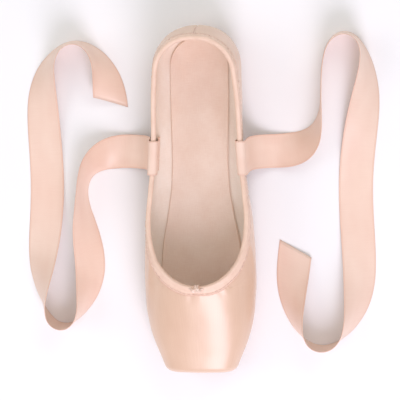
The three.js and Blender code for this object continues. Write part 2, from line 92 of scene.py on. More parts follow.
# Thickness of cloth, cord and thread
SATIN_THICK = 0.5
LINING_THICK = 0.7
RIBBON_CLOTH = 0.34
CORD_RADIUS = 0.7
KNOT_CORD = 0.95  # its turns press on each other, so they bulge
THREAD_RADIUS = 0.24
SOLE_THREAD = 0.3

# Seams of the satin, between quarters and vamp and up the heel
SEAM_BACK = 117
SEAM_PLACE = HALF_LENGTH - SEAM_BACK
SEAM_WIDTH = 0.55
SEAM_DEPTH = 0.4
SEAM_LIP = 1.3  # the turned-in edge stands up this far behind a side seam
SEAM_LIP_WIDTH = 0.9
SEAM_LIP_SHARE = 0.5
SEAM_RISES = (5, 8)  # heights between which a side seam begins
HEEL_SEAM_DEPTH = 1.5 * SEAM_DEPTH
HEEL_SEAM_STARTS = (LENGTH - 9, LENGTH - 4)
SEAM_LINE = (0.1, 0.5)  # the painted shade along a seam's groove fades between these distances from it
# places along the shoe between which the painted shade of the heel seam fades out
HEEL_LINE_ENDS = (-100, -90)
TURN_UNDER = (2, 16)  # heights between which the painted shade of the satin's underside fades

# Rows and points of the shells of satin and lining
SATIN_POINTS = 100
LINING_POINTS = 50
LINING_COARSER = 2.0
SECTION_POINTS = 500
UNDER_TOE_CLOSER = 0.5  # share by which points draw together under the toe, for its pleats
ROW_STEP = {"toe": 0.6, "vamp": 1.1, "wing": 1.4, "seam": 0.4, "quarter": 1.7}
TOE_ROWS = 8
THROAT_ROWS = 24
THROAT_RUN = 9
SEAM_RUN = 4
HEEL_ROWS = 30
HEEL_SEAM_ROWS = (29.42, 29.65, 29.85)  # closer rows beside the seam up the heel, among the HEEL_ROWS
PLATFORM_RINGS = (0, 0.25, 0.5, 0.7, 0.85, 0.95)
PLATFORM_CLOTH = (-24, -1)  # where the rings lie on the cloth map, in front of distance back 0
UNDERSIDE_ROUNDS = 4

# Sections of the last. back: share of LENGTH from the platform. half: share of HALF_BALL.
# rise: share of ARCH_RISE. widest and crown: shares of INSTEP_HEIGHT. under and over: roundness.
LAST_COLUMNS = ("back", "half", "rise", "widest", "crown", "under", "over")
LAST = (
    (0.0, 0.625, 0.41, 0.345, 0.624, 2.6, 2.7),
    (0.049, 0.742, 0.2, 0.345, 0.68, 2.7, 2.6),
    (0.088, 0.836, 0.07, 0.345, 0.737, 2.8, 2.5),
    (0.142, 0.93, 0.0, 0.345, 0.813, 2.9, 2.35),
    (0.204, 0.983, 0.0, 0.345, 0.902, 2.9, 2.25),
    (0.274, 1.0, 0.0, 0.345, 1.0, 2.9, 2.2),
    (0.354, 0.985, 0.0, 0.345, 1.09, 2.9, 2.5),
    (0.442, 0.947, 0.32, 0.355, 1.157, 2.8, 2.8),
    (0.531, 0.872, 0.82, 0.37, 1.196, 2.7, 3.0),
    (0.62, 0.812, 1.0, 0.39, 1.225, 2.6, 3.0),
    (0.708, 0.789, 0.6, 0.41, 1.275, 2.6, 2.9),
    (0.796, 0.783, 0.08, 0.43, 1.353, 2.6, 2.7),
    (0.885, 0.772, 0.0, 0.44, 1.412, 2.6, 2.5),
    (1.0, 0.761, 0.0, 0.44, 1.45, 2.6, 2.3),
)

# Topline in side view, from the throat. height: share of HEEL_HEIGHT.
TOPLINE_COLUMNS = ("back", "height")
TOPLINE = (
    (0.274, 0.9445),
    (0.319, 0.889),
    (0.372, 0.822),
    (0.434, 0.748),
    (0.504, 0.682),
    (0.593, 0.648),
    (0.681, 0.67),
    (0.779, 0.763),
    (0.876, 0.889),
    (0.947, 0.965),
    (1.0, 1.0),
)

# Half widths of outsole and insole in plan, as shares of HALF_BALL.
BOTTOM_COLUMNS = ("back", "sole", "insole")
BOTTOMS = (
    (0.195, 0.6, 0.7),
    (0.274, 0.628, 0.73),
    (0.36, 0.57, 0.7),
    (0.45, 0.44, 0.6),
    (0.54, 0.335, 0.52),
    (0.62, 0.3, 0.5),
    (0.71, 0.325, 0.51),
    (0.8, 0.385, 0.52),
    (0.88, 0.4, 0.52),
)

# Middle line of a ribbon while it hangs, as (distance out from the middle plane, height).
RIBBON_HANG = (
    (26, 15.5),
    (26.6, 19),
    (26.5, 22.5),
    (26, 26),
    (25.5, 29.5),
    (25.2, 33),
    (25.1, 36),
    (25.5, 37.6),
    (26.6, 38.4),
    (28.1, 38.6),
    (29.7, 38.4),
    (30.8, 37.4),
    (31.2, 35),
    (31.4, 30),
    (31.8, 22),
    (33.2, 14.2),
    (36.5, 7.4),
    (42, 3),
    (48.5, 1),
)

# The rest of each ribbon, on the floor, as (x, distance out, degrees from flat to standing on one edge).
LEFT_LIE = (
    (-30.5, 56, 8),
    (-33, 64, 27),
    (-38.5, 71, 52),
    (-47, 76, 76),
    (-60, 78, 88),
    (-80, 78, 88),
    (-98, 81, 90),
    (-106.5, 88.5, 90),
    (-106, 98, 90),
    (-97.5, 104.5, 84),
    (-82, 107, 60),
    (-62, 106, 30),
    (-38, 102.5, 8),
    (-10, 100, 0),
    (20, 101, 2),
    (46, 102.5, 12),
    (66, 101.5, 34),
    (83, 97, 64),
    (95.5, 88.5, 86),
    (99.5, 77, 90),
    (94, 66.5, 86),
    (80, 60.5, 62),
    (63, 58.5, 32),
    (46, 59.5, 8),
    (30, 61.5, 0),
)
RIGHT_LIE = (
    (-29.5, 56, 8),
    (-27, 64, 27),
    (-21.5, 71, 52),
    (-13, 76, 76),
    (2, 78, 78),
    (23, 76, 46),
    (44, 73.5, 31),
    (62, 75, 52),
    (76, 79.5, 80),
    (84.5, 87, 90),
    (84.5, 96.5, 90),
    (76.5, 103, 88),
    (61, 106, 62),
    (41, 105.5, 28),
    (17, 103, 6),
    (-10, 101.5, 0),
    (-38, 102.5, 4),
    (-60, 103, 16),
    (-79, 100.5, 44),
    (-94, 94, 76),
    (-102, 83.5, 90),
    (-99.5, 72, 88),
    (-89, 63.5, 66),
    (-74, 59.5, 34),
    (-58, 58.5, 6),
)

# Soft creases of the satin, each from place a to place b of one side: distances back and heights of its
# ends, then its half width and depth.
CREASE_COLUMNS = ("side", "back_a", "high_a", "back_b", "high_b", "width", "depth")
CREASES = (
    (LEFT, 84, 39, 64, 26, 4.6, 0.5),
    (LEFT, 96, 36, 74, 20, 5.4, 0.4),
    (RIGHT, 82, 40, 61, 28, 4.4, 0.45),
    (RIGHT, 99, 35, 79, 20, 5.6, 0.42),
    (LEFT, 131, 28, 136, 13, 3.6, 0.34),
    (LEFT, 145, 29, 151, 14, 4.4, 0.4),
    (LEFT, 163, 31, 170, 17, 4.8, 0.36),
    (RIGHT, 128, 28, 131, 14, 3.8, 0.36),
    (RIGHT, 141, 28, 148, 13, 4.2, 0.38),
    (RIGHT, 158, 30, 166, 15, 5.0, 0.4),
    (LEFT, 194, 42, 218, 36, 3.8, 0.36),
    (LEFT, 186, 33, 212, 27, 4.6, 0.3),
    (RIGHT, 197, 43, 220, 38, 3.6, 0.34),
    (RIGHT, 189, 31, 214, 25, 4.8, 0.32),
    (LEFT, 14, 9, 40, 12, 3.0, 0.34),
    (LEFT, 20, 15, 54, 17, 4.2, 0.26),
    (RIGHT, 12, 10, 38, 13, 3.2, 0.32),
    (RIGHT, 24, 16, 57, 18, 4.0, 0.26),
)
CREASE_STEPS = 40
CREASE_REACH = 45  # from a crease's middle, no point farther than this is touched
CREASE_BOW = 1.5
CREASE_TAPER = 0.8
CREASE_RIDGE = 1.1

# Pleats under the toe, beside the part's own numbers
PLEAT_SHORTENS = 1.5  # how fast pleats get shorter from the middle to the sides
PLEAT_LEAN = 0.16  # each fold leans to one side, by this share of the way to the next
PLEAT_BLUNT = 0.6
PLEAT_MIDDLE = 0.6  # height of a fold that lies level with the satin
PLEAT_STARTS = (0.0, 0.1)  # shares of a pleat's length over which it rises, then those over which it ends
PLEAT_ENDS = (0.5, 1.3)
PLEAT_FACING = (0.0, 0.35)  # only satin that faces down so far is pleated
PLEAT_FAN = 1.75

# Uneven satin: waves along the topline as (strength, length, start), slack as (length back, length round)
SATIN_PUCKER = ((1, 1.15, 0), (0.7, 0.83, 1.3), (0.6, 2.1, 0.4))
GATHER = 0.1
GATHER_RUN = 5
SLACK = 0.07
SLACK_WAVES = ((5.3, 9.1), (8.7, -6.3))
TOPLINE_POINTS = 4000
SATIN_EDGE_STEP = 1.0
NEAREST_AT_ONCE = 4000

# Ribbons as cloth
RIBBON_EACH = 10  # steps from one point of a ribbon's route to the next
RIBBON_ACROSS = (-1, -0.965, -0.92, -0.8, -0.6, -0.3, 0, 0.3, 0.6, 0.8, 0.92, 0.965, 1)
RIBBON_SLANT = 9  # a ribbon's cut end runs back this far from one edge to the other
RIBBON_SLANT_RUN = 40
RIBBON_CUP = 0.3  # its middle swings out of its plane so far, in waves
RIBBON_CUP_WAVE = 21
RIBBON_CUP_STARTS = (60, 110)
RIBBON_SEAT = 0.25  # between a ribbon and the binding under it
RIBBON_LANDING = (1, 2.5)  # points of the route from the landing over which its softening fades
RIBBON_SELVEDGE = (1.3, 0.9)  # distances from a ribbon's edge between which its woven edge begins
RIBBON_RIB = 1.1  # from rib to rib of the woven edge
FLOOR_SLIP = 0.05  # between a ribbon and the floor
SEWN_FROM = 17  # heights between which a ribbon is sewn to the quarter
SEWN_TO = 28
SEWN_MARGIN = 1.6
SEWN_PITCH = 2.2
SEWN_STITCH = 1.6
SEWN_HANG = 5  # the first points of RIBBON_HANG carry the sewing

# Sole and sock: rings of distances in from the edge
SOLE_POINTS = 420
PLAN_POINTS = 400
PLAN_TURN_POINTS = 60
TO_MIDDLE = 99
CHANNEL = 3.2  # distance of the sewing channel from the outsole's edge
CHANNEL_HALF = 0.75
CHANNEL_DEPTH = 0.45
CHANNEL_ROWS = 7
RIM_ROUND = 0.7
RIM_ROWS = 6
OUTSOLE_UNDER = (TO_MIDDLE, 20, 16, 12, 9, 7, 5.5, 4.5)
OUTSOLE_SIDE = (0.6, 0.3)  # distances under the satin
OUTSOLE_OVER = (0.3, 2, 6, 12, TO_MIDDLE)
OUTSOLE_SEAT = 0.12
INSOLE_UNDER = (TO_MIDDLE, 20, 10, 3, 0.4)
INSOLE_OVER = (1.4, 2.2, 3.2, 4.5, 6, 9, 12, 16, 20, 24, TO_MIDDLE)
INSOLE_SEAT = 0.1
INSOLE_ROUND = 0.8
LEATHER_RIM = (0.4, 1.6)  # heights between which the leather darkens to its rim
LEATHER_MARKS = (0.62, 0.72)  # only noise past these shows as marks

# Profile of the binding: (distance down from the edge, distance out from the satin or in from the lining)
BINDING_FACE = (
    (6.0, 0.03),
    (6.02, 0.22),
    (5.85, 0.4),
    (5.4, 0.45),
    (5.0, 0.38),
    (4.7, 0.28),
    (4.4, 0.38),
    (3.9, 0.5),
    (3.2, 0.56),
    (2.4, 0.62),
    (1.6, 0.7),
    (0.9, 0.78),
)
BINDING_BACK = (4.8, 2.8, 0.9)  # distances down of the rows against the wall
BINDING_SEAT = 0.03
BINDING_STEP = 0.85
BINDING_PUCKER = ((1, 0.52, 0), (0.8, 0.71, 1.1), (0.7, 1.37, 0.5))
BINDING_FACE_GATHER = 0.05
BINDING_TOP_GATHER = 0.06
BINDING_TOP = 1.3
BINDING_TOP_FOOT = 0.3
BINDING_TOP_OUT = 0.84
BINDING_TOP_TURN = 0.12
BINDING_TOP_ROWS = 15
BINDING_LEAST_DROP = 0.6  # rows nearer to the edge stand off from the satin this far down
NORMAL_REACH = 4  # points to each side over which the binding's normals are evened out
STITCH_LINE = 4.7
STITCH_OUT = 0.28  # as BINDING_FACE has it at the STITCH_LINE
HEM_TO_STITCHES = 1.75  # measured over the hem's round edge
HEM_SHADE = (0.4, 1.2)  # distances from the hem, then from the stitches, between which their shade fades
GROOVE_SHADE = (0.15, 0.5)

# A stitch, as (share of its length, share of the thread's radius, share of it that is sunk), and the
# pitch and length of stitches
STITCH_FORM = (
    (0, 0.35, 1.1),
    (0.08, 0.85, 0.5),
    (0.3, 1, 0.05),
    (0.5, 1, 0),
    (0.7, 1, 0.05),
    (0.92, 0.85, 0.5),
    (1, 0.35, 1.1),
)
STITCH_SIDES = 6
STITCH_STANDS_OFF = 0.8  # shares of the thread's radius
CHANNEL_STITCH_LIFT = 1.2
BINDING_STITCH = (2.9, 2.1)
SOLE_STITCH = (4.6, 3.4)

# Ways of the drawstring at the throat: (beyond the edge of the wall, out from the satin, aside)
CORD_OUT = (
    (0.2, -0.9, 4.8),
    (-0.2, 0.4, 4.1),
    (-0.8, 1.3, 3.0),
    (-1.3, 1.8, 1.4),
)
CORD_OVER = (
    (-1.2, 1.9, 0.4),
    (0.2, 1.6, 0.5),
    (1.2, 0.8, 0.7),
    (1.6, -0.5, 0.9),
    (1.5, -2.0, 1.1),
    (1.2, -3.4, 1.3),
)
CORD_TUCK = 4  # how far under the vamp the loose ends hang
CORD_TIPS = ((0.6, 0.3, 0.5), (1, 0.5, 1))  # (share of CORD_TUCK, distance aside, share of CORD_TAIL)
CORD_EACH = 8
CORD_SIDES = 12
CORD_ASKEW = (0.3, 0.9, 0.2)  # a direction that no cord takes
KNOT_SPREAD = (0.34, 0.92, 0.6)
KNOT_STANDS_OFF = 0.75  # share of KNOT_RADIUS from the binding to the knot's middle
KNOT_POINTS = 73

# Camera: it looks onto the vamp with the toe at the foot of the picture, a little from the heel and the left
VIEW_AIM = Vector((0, 0, 16))
VIEW_WIDTH = 258
VIEW_DISTANCE = 1300
VIEW_FROM_HEEL = math.radians(9)
VIEW_FROM_LEFT = math.radians(5)
SENSOR = 36

# Lights: name, place, the place that it faces, size, watts and tint
LIGHTS = (
    ("streak", (730, 250, 760), (60, 0, 40), (500, 900), 7.2, (0.93, 0.855, 1)),
    ("soft", (750, 20, 780), (60, 0, 40), (500, 900), 0.6, (1, 0.97, 0.97)),
    ("heel", (-800, 350, 750), (-50, 0, 30), (900, 500), 2.8, (1, 1, 1)),
    ("fill", (-200, -900, 800), (0, 0, 20), (900, 700), 3.0, (1, 1, 1)),
    ("top", (-300, 0, 1600), (0, 0, 20), (1200, 1200), 1.2, (1, 1, 1)),
)
WORLD_LIGHT = 0.44
FLOOR_SIZE = 8000


def curve_of(columns, rows, name):
    """A smooth curve without overshoot through one column of a table, read at a distance back."""
    table = np.array(rows, float)
    at = table[:, 0]
    value = table[:, columns.index(name)]
    step = np.diff(at)
    rate = np.diff(value) / step
    before = np.r_[rate[:1], rate]
    after = np.r_[rate, rate[-1:]]
    same_way = before * after > 0
    slope = np.where(same_way, 2 * before * after / np.where(same_way, before + after, 1), 0)

    def read(back):
        share = np.clip(np.asarray(back, float) / LENGTH, at[0], at[-1])
        i = np.clip(np.searchsorted(at, share, side="right") - 1, 0, len(step) - 1)
        u = (share - at[i]) / step[i]
        rest = 1 - u
        turn = step[i] * u * rest * (slope[i] * rest - slope[i + 1] * u)
        return value[i] * (1 + 2 * u) * rest**2 + value[i + 1] * (3 - 2 * u) * u**2 + turn

    return read


last = {name: curve_of(LAST_COLUMNS, LAST, name) for name in LAST_COLUMNS}
topline_share = curve_of(TOPLINE_COLUMNS, TOPLINE, "height")
THROAT = TOPLINE[0][0] * LENGTH


def smoothstep(x, low, high):
    """0 below low, 1 above high, and a soft step between them."""
    u = np.clip((x - low) / (high - low), 0, 1)
    return u * u * (3 - 2 * u)


def bell(x, width):
    """1 at 0, falling away to both sides over the width."""
    return np.exp(-((x / width) ** 2))


def waves(run, table):
    """A sum of waves of a table's strengths, lengths and starts."""
    return sum(strength * np.sin(run / length + start) for strength, length, start in table)


def unit(vectors):
    return vectors / np.maximum(np.linalg.norm(vectors, axis=-1, keepdims=True), TINY)


def steps(start, end, size):
    """Even steps of about the given size, without the start."""
    count = max(1, round(abs(end - start) / size))
    return np.linspace(start, end, count + 1)[1:]


def run_along(line):
    """Distance of each point of a line from its start, along the line."""
    return np.r_[0, np.cumsum(np.linalg.norm(np.diff(line, axis=0), axis=1))]


def read_line(at, run, line):
    """Points of a line at distances along it."""
    return np.stack([np.interp(at, run, column) for column in line.T], -1)


def evenly(line, count):
    """A line again, at even steps."""
    run = run_along(line)
    return read_line(np.linspace(0, run[-1], count), run, line)


def both_sides(left):
    """A closed loop of a line on the left, which starts and ends in the middle, and its mirror image."""
    mirror = np.array((1, -1, 1))[:left.shape[1]]
    return np.vstack([left, left[-2:0:-1] * mirror])


def even_out(values, reach):
    """Running mean along an open line, which keeps its ends."""
    ends = np.vstack([np.repeat(values[:1], reach, 0), values, np.repeat(values[-1:], reach, 0)])
    mean = sum(ends[k:k + len(values)] for k in range(2 * reach + 1)) / (2 * reach + 1)
    mean[[0, -1]] = values[[0, -1]]
    return mean


def even_round(values, reach):
    """Running mean round a closed loop."""
    return sum(np.roll(values, k, axis=0) for k in range(-reach, reach + 1)) / (2 * reach + 1)


def through(points, each):
    """A smooth curve through points, with a number of steps from each point to the next."""
    p = np.vstack([2 * points[0] - points[1], points, 2 * points[-1] - points[-2]])
    pace = np.linalg.norm(np.diff(p, axis=0), axis=1) ** 0.5
    found = []
    for i in range(1, len(p) - 2):
        d0, d1, d2 = pace[i - 1:i + 2]
        start = (p[i] - p[i - 1]) / d0 - (p[i + 1] - p[i - 1]) / (d0 + d1) + (p[i + 1] - p[i]) / d1
        end = (p[i + 1] - p[i]) / d1 - (p[i + 2] - p[i]) / (d1 + d2) + (p[i + 2] - p[i + 1]) / d2
        u = np.arange(each)[:, None] / each
        a = (2 * u**3 - 3 * u**2 + 1) * p[i] + (3 * u**2 - 2 * u**3) * p[i + 1]
        found.append(a + (u**3 - 2 * u**2 + u) * start * d1 + (u**3 - u**2) * end * d1)
    return np.vstack([*found, points[-1:]])


def nearest_on(points, line):
    """Distance from each point to a line's points, and the index of the nearest one."""
    distance = np.empty(len(points))
    index = np.empty(len(points), int)
    for start in range(0, len(points), NEAREST_AT_ONCE):
        some = slice(start, start + NEAREST_AT_ONCE)
        gaps = np.linalg.norm(points[some, None] - line[None], axis=-1)
        index[some] = gaps.argmin(1)
        distance[some] = gaps.min(1)
    return distance, index


def wall(back):
    """Thickness of the upper's wall."""
    return BOX_WALL + (QUARTER_WALL - BOX_WALL) * smoothstep(back, *WALL_THINS)


def sole_rise(back):
    """Height of the outsole's underside over the floor."""
    return ARCH_RISE * last["rise"](back)


def edge_inset(distance, radius):
    """How far a rounded edge draws in, a distance from the end that it rounds."""
    d = np.minimum(distance, radius)
    return radius - np.sqrt(np.maximum(0, radius**2 - (radius - d) ** 2))


def section(back, inset):
    """Half width, underside, height of the widest point and crown of the last, drawn in by an inset."""
    from_heel = np.maximum(0, LENGTH - back)
    toe_edge = edge_inset(back, PLATFORM_EDGE)
    heel_share = np.minimum(1, from_heel / HEEL_ROUND)
    heel_plan = (1 - (1 - heel_share) ** HEEL_POWER) ** (1 / HEEL_POWER)
    half = (HALF_BALL * last["half"](back) - inset) * heel_plan - toe_edge
    bottom = FIT_GAP + SOLE_THICK + sole_rise(back) + edge_inset(from_heel, HEEL_UNDER) + toe_edge + inset
    widest = INSTEP_HEIGHT * last["widest"](back)
    crown = INSTEP_HEIGHT * last["crown"](back) - toe_edge - inset
    return half, bottom, widest, crown


def lengthwise(back, z, inset=0.0):
    """Place along the shoe of a point of a section: the platform tilts and the heel's back curves."""
    toe_fade = np.clip(1 - back / TOE_BLOCK, 0, 1)
    heel_fade = np.clip(1 - (LENGTH - back) / (2 * HEEL_ROUND), 0, 1)
    tilt = math.tan(PLATFORM_TILT) * (z - PLATFORM_FOOT) * toe_fade
    lean = HEEL_LEAN * ((z - HEEL_BULGE) / (HEEL_HEIGHT - HEEL_BULGE)) ** 2 * heel_fade**2
    ends = inset * (2 * back / LENGTH - 1)
    return HALF_LENGTH - back + ends - tilt + lean


def surface(back, angle, inset=0.0):
    """Points of the last's surface, at angles round its sections from the widest point on the left."""
    half, bottom, widest, crown = section(back, inset)
    across = np.cos(angle)
    up = np.sin(angle)
    power = 2 / np.where(up < 0, last["under"](back), last["over"](back))
    reach = np.where(up < 0, widest - bottom, crown - widest)
    y = half * np.sign(across) * np.abs(across) ** power
    z = widest + reach * np.sign(up) * np.abs(up) ** power
    return np.stack(np.broadcast_arrays(lengthwise(back, z, inset), y, z), -1)


def top_angle(back):
    """Angle of the topline on a section, or of its crown in front of the throat."""
    _, _, widest, crown = section(back, 0.0)
    climb = (HEEL_HEIGHT * topline_share(back) - widest) / (crown - widest)
    angle = np.arcsin(np.clip(climb, 0, 1) ** (last["over"](back) / 2))
    return np.where(back <= THROAT, math.pi / 2, angle)


def on_side(back, height, side):
    """Points of the surface by their distance back and height, on one side of the shoe."""
    half, bottom, widest, crown = section(back, 0.0)
    below = height < widest
    power = np.where(below, last["under"](back), last["over"](back))
    share = np.where(below, (widest - height) / (widest - bottom), (height - widest) / (crown - widest))
    y = half * (1 - np.clip(share, 0, 1) ** power) ** (1 / power)
    return np.stack(np.broadcast_arrays(lengthwise(back, height), side * y, height), -1)


def underside(x, y, inset):
    """Height of the surface under the shoe at places in plan, found by correcting the distance back."""
    back = HALF_LENGTH - x
    for _ in range(UNDERSIDE_ROUNDS):
        half, bottom, widest, _ = section(np.clip(back, 0, LENGTH), inset)
        power = last["under"](back)
        drop = (1 - np.clip(np.abs(y) / half, 0, 1) ** power) ** (1 / power)
        z = widest - (widest - bottom) * drop
        back = back + lengthwise(back, z, inset) - x
    return z


def stations(coarser):
    """Distances back of the rows of a shell: close at the toe's edge, throat, side seams and heel."""
    toe_turn = PLATFORM_EDGE * (1 - np.cos(np.linspace(0, math.pi / 2, TOE_ROWS)))
    throat_turn = THROAT + THROAT_RUN * (np.arange(1, THROAT_ROWS + 1) / THROAT_ROWS) ** 2
    heel_start = LENGTH - HEEL_ROUND
    heel_steps = np.r_[1:HEEL_ROWS, HEEL_SEAM_ROWS, HEEL_ROWS] / HEEL_ROWS
    return np.concatenate([
        toe_turn,
        steps(PLATFORM_EDGE, TOE_BLOCK, ROW_STEP["toe"] * coarser),
        steps(TOE_BLOCK, THROAT, ROW_STEP["vamp"] * coarser),
        throat_turn,
        steps(throat_turn[-1], SEAM_BACK - SEAM_RUN, ROW_STEP["wing"] * coarser),
        steps(SEAM_BACK - SEAM_RUN, SEAM_BACK + SEAM_RUN, ROW_STEP["seam"] * coarser),
        steps(SEAM_BACK + SEAM_RUN, heel_start, ROW_STEP["quarter"] * coarser),
        heel_start + HEEL_ROUND * np.sin(heel_steps * math.pi / 2),
    ])


def cloth_map(along, across):
    """Places on the cloth of rows of points, from the distances along and across it."""
    return np.stack(np.broadcast_arrays(along[:, None], across), -1)


def shell(count, inside=False, coarser=1.0):
    """Rows of points over the upper from the platform to the heel, each from the right edge under the shoe
    to the left edge, with their places on the cloth (distance back, way round) and distances back."""
    backs = stations(coarser)[:, None]
    inset = wall(backs) if inside else np.zeros_like(backs)
    many = np.linspace(0, 1, SECTION_POINTS)[None, :]
    angles = -math.pi / 2 + many * (top_angle(backs) + math.pi / 2)
    runs = np.array([run_along(line) for line in surface(backs, angles, inset)])
    share = np.linspace(0, 1, count)
    closer = UNDER_TOE_CLOSER * (1 - smoothstep(backs, TOE_BLOCK, THROAT))
    share = share * (1 - closer * (1 - share))
    even = np.array([np.interp(s * run[-1], run, a) for s, run, a in zip(share, runs, angles)])
    left = surface(backs, even, inset)
    left[:, 0, 1] = 0
    left[backs[:, 0] <= THROAT, -1, 1] = 0
    left[-1, :, 1] = 0
    rows = np.concatenate([left[:, :0:-1] * (1, -1, 1), left], axis=1)
    way = runs[:, -1].mean() * share
    way_round = np.concatenate([-way[:, :0:-1], way], axis=1)
    toe_inset = inset[0, 0]
    centre_z = section(0.0, toe_inset)[2]
    platform = []
    for size in PLATFORM_RINGS:
        z = centre_z + (rows[0, :, 2] - centre_z) * size
        platform.append(np.stack([lengthwise(0.0, z, toe_inset), rows[0, :, 1] * size, z], -1))
    places = np.concatenate([np.array(platform), rows])
    along = np.concatenate([np.linspace(*PLATFORM_CLOTH, len(platform)), backs[:, 0]])
    across = np.concatenate([np.repeat(way_round[:1], len(platform), 0), way_round])
    return places, cloth_map(along, across), np.maximum(along, 0)


def select(*pieces):
    """Makes these the selected pieces, with the first one active."""
    bpy.ops.object.select_all(action="DESELECT")
    for piece in pieces:
        piece.select_set(True)
    if pieces:
        bpy.context.view_layer.objects.active = pieces[0]


def set_cloth(mesh, cloth):
    """Writes the places of a mesh's points on the cloth into its cloth map, in millimetres."""
    corners = np.empty(len(mesh.loops), int)
    mesh.loops.foreach_get("vertex_index", corners)
    mesh.uv_layers.new(name="cloth").data.foreach_set("uv", cloth.reshape(-1, 2)[corners].ravel())


def cloth_piece(name, places, cloth, end_sides=0):
    """A grid primitive whose points are moved to rows of places, with its cloth map. Openings of up to so
    many sides are closed."""
    rows, columns = places.shape[:2]
    select()
    bpy.ops.mesh.primitive_grid_add(x_subdivisions=columns - 1, y_subdivisions=rows - 1, size=1)
    piece = bpy.context.object
    piece.name = name
    mesh = piece.data
    mesh.name = name
    mesh.vertices.foreach_set("co", (places * MM).ravel())
    while mesh.uv_layers:
        mesh.uv_layers.remove(mesh.uv_layers[0])
    set_cloth(mesh, cloth)
    bpy.ops.object.mode_set(mode="EDIT")
    bpy.ops.mesh.select_all(action="SELECT")
    bpy.ops.mesh.remove_doubles(threshold=MERGE * MM)
    if end_sides:
        bpy.ops.mesh.fill_holes(sides=end_sides)
    bpy.ops.mesh.normals_make_consistent(inside=False)
    bpy.ops.object.mode_set(mode="OBJECT")
    bpy.ops.object.shade_smooth()
    return piece


def thicken(piece, thickness, offset):
    """Gives a sheet its thickness: inwards for offset -1, outwards for 1, to both sides for 0."""
    select(piece)
    layer = piece.modifiers.new("thickness", "SOLIDIFY")
    layer.thickness = thickness * MM
    layer.offset = offset
    bpy.ops.object.modifier_apply(modifier=layer.name)
    return piece


def finish_piece(piece, material, slot, *nodes):
    """Puts a piece on the shoe's body, with its finish and the nodes that it stands for."""
    piece.data.materials.clear()
    piece.data.materials.append(material)
    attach(piece, BODY)
    if nodes:
        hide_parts(*nodes)


class Wire:
    """A number that changes over a surface: one socket of a material's nodes."""

    def __init__(self, finish, socket):
        self.finish = finish
        self.socket = socket

    def reckon(self, operation, *terms):
        return self.finish.node("ShaderNodeMath", {"operation": operation}, dict(enumerate(terms)))

    def __add__(self, other):
        return self.reckon("ADD", self, other)

    def __radd__(self, other):
        return self.reckon("ADD", other, self)

    def __sub__(self, other):
        return self.reckon("SUBTRACT", self, other)

    def __rsub__(self, other):
        return self.reckon("SUBTRACT", other, self)

    def __mul__(self, other):
        return self.reckon("MULTIPLY", self, other)

    def __rmul__(self, other):
        return self.reckon("MULTIPLY", other, self)

    def __abs__(self):
        return self.reckon("ABSOLUTE", self)

    def sine(self):
        return self.reckon("SINE", self)

    def between(self, low, high):
        """0 below low, 1 above high, and even between them."""
        sockets = {"Value": self, "From Min": low, "From Max": high}
        return self.finish.node("ShaderNodeMapRange", {"clamp": True}, sockets)

    def spread(self, reach=0.2):
        """Noise lies about 0.5: what is within reach of that, drawn out from 0 to 1."""
        return self.between(0.5 - reach, 0.5 + reach)


class Finish:
    """A material: its shader, with the sockets that are the same all over, and the nodes that vary it."""

    def __init__(self, name, **steady):
        self.material = bpy.data.materials.new(name)
        self.material.use_nodes = True
        self.tree = self.material.node_tree
        self.shader = self.tree.nodes["Principled BSDF"]
        for socket, value in steady.items():
            self.shader.inputs[socket.replace("_", " ")].default_value = value

    def feed(self, socket, value):
        if isinstance(value, Wire):
            self.tree.links.new(value.socket, socket)
        else:
            socket.default_value = value

    def node(self, kind, settings=None, sockets=None, result=0):
        """A new node with its settings, then values or wires of its sockets. Gives one of its results."""
        node = self.tree.nodes.new(kind)
        for name, value in (settings or {}).items():
            setattr(node, name, value)
        for name, value in (sockets or {}).items():
            self.feed(node.inputs[name], value)
        return Wire(self, node.outputs[result])

    def cloth(self):
        """The piece's cloth map: millimetres along and across."""
        return self.node("ShaderNodeUVMap", {"uv_map": "cloth"})

    def place(self):
        """Millimetres in the part's own frame."""
        metres = self.node("ShaderNodeTexCoord", result="Object")
        return self.node("ShaderNodeVectorMath", {"operation": "SCALE"}, {"Vector": metres, "Scale": 1 / MM})

    def parts(self, vector):
        split = self.node("ShaderNodeSeparateXYZ", sockets={"Vector": vector})
        return [Wire(self, socket) for socket in split.socket.node.outputs]

    def noise(self, vector, sizes, detail=2.0, roughness=0.5):
        """Cloudy values about 0.5, of a size in millimetres for each direction."""
        shrink = [1 / size for size in sizes]
        scaled = self.node("ShaderNodeMapping", sockets={"Vector": vector, "Scale": shrink})
        return self.node(
            "ShaderNodeTexNoise",
            sockets={"Vector": scaled, "Scale": 1.0, "Detail": detail, "Roughness": roughness},
        )

    def blend(self, share, first, second):
        """A colour between two, where share is 0 for the first."""
        sockets = {"Factor": share, 6: first, 7: second}
        return self.node("ShaderNodeMix", {"data_type": "RGBA"}, sockets, result=2)

    def relief(self, height, distance, strength):
        """Bumps of a height from 0 to 1, over the distance in millimetres."""
        bump = self.node(
            "ShaderNodeBump",
            sockets={"Height": height, "Distance": distance * MM, "Strength": strength},
        )
        self.feed(self.shader.inputs["Normal"], bump)

    def show(self, colour, roughness):
        self.feed(self.shader.inputs["Base Color"], colour)
        self.feed(self.shader.inputs["Roughness"], roughness)
        return self.material


def colour(red, green, blue):
    """A colour given from 0 to 255, as shaders take it."""
    parts = [c / 255 for c in (red, green, blue)]
    return tuple(c / 12.92 if c <= 0.04045 else ((c + 0.055) / 1.055) ** 2.4 for c in parts) + (1.0,)


def ribs(along, pitch):
    """Waves from 0 to 1."""
    return (along * (2 * math.pi / pitch)).sine() * 0.5 + 0.5


def weave(along, across, pitch):
    """Threads over and under each other, from 0 to 1."""
    turn = 2 * math.pi / pitch
    return (along * turn).sine() * (across * turn).sine() * 0.5 + 0.5


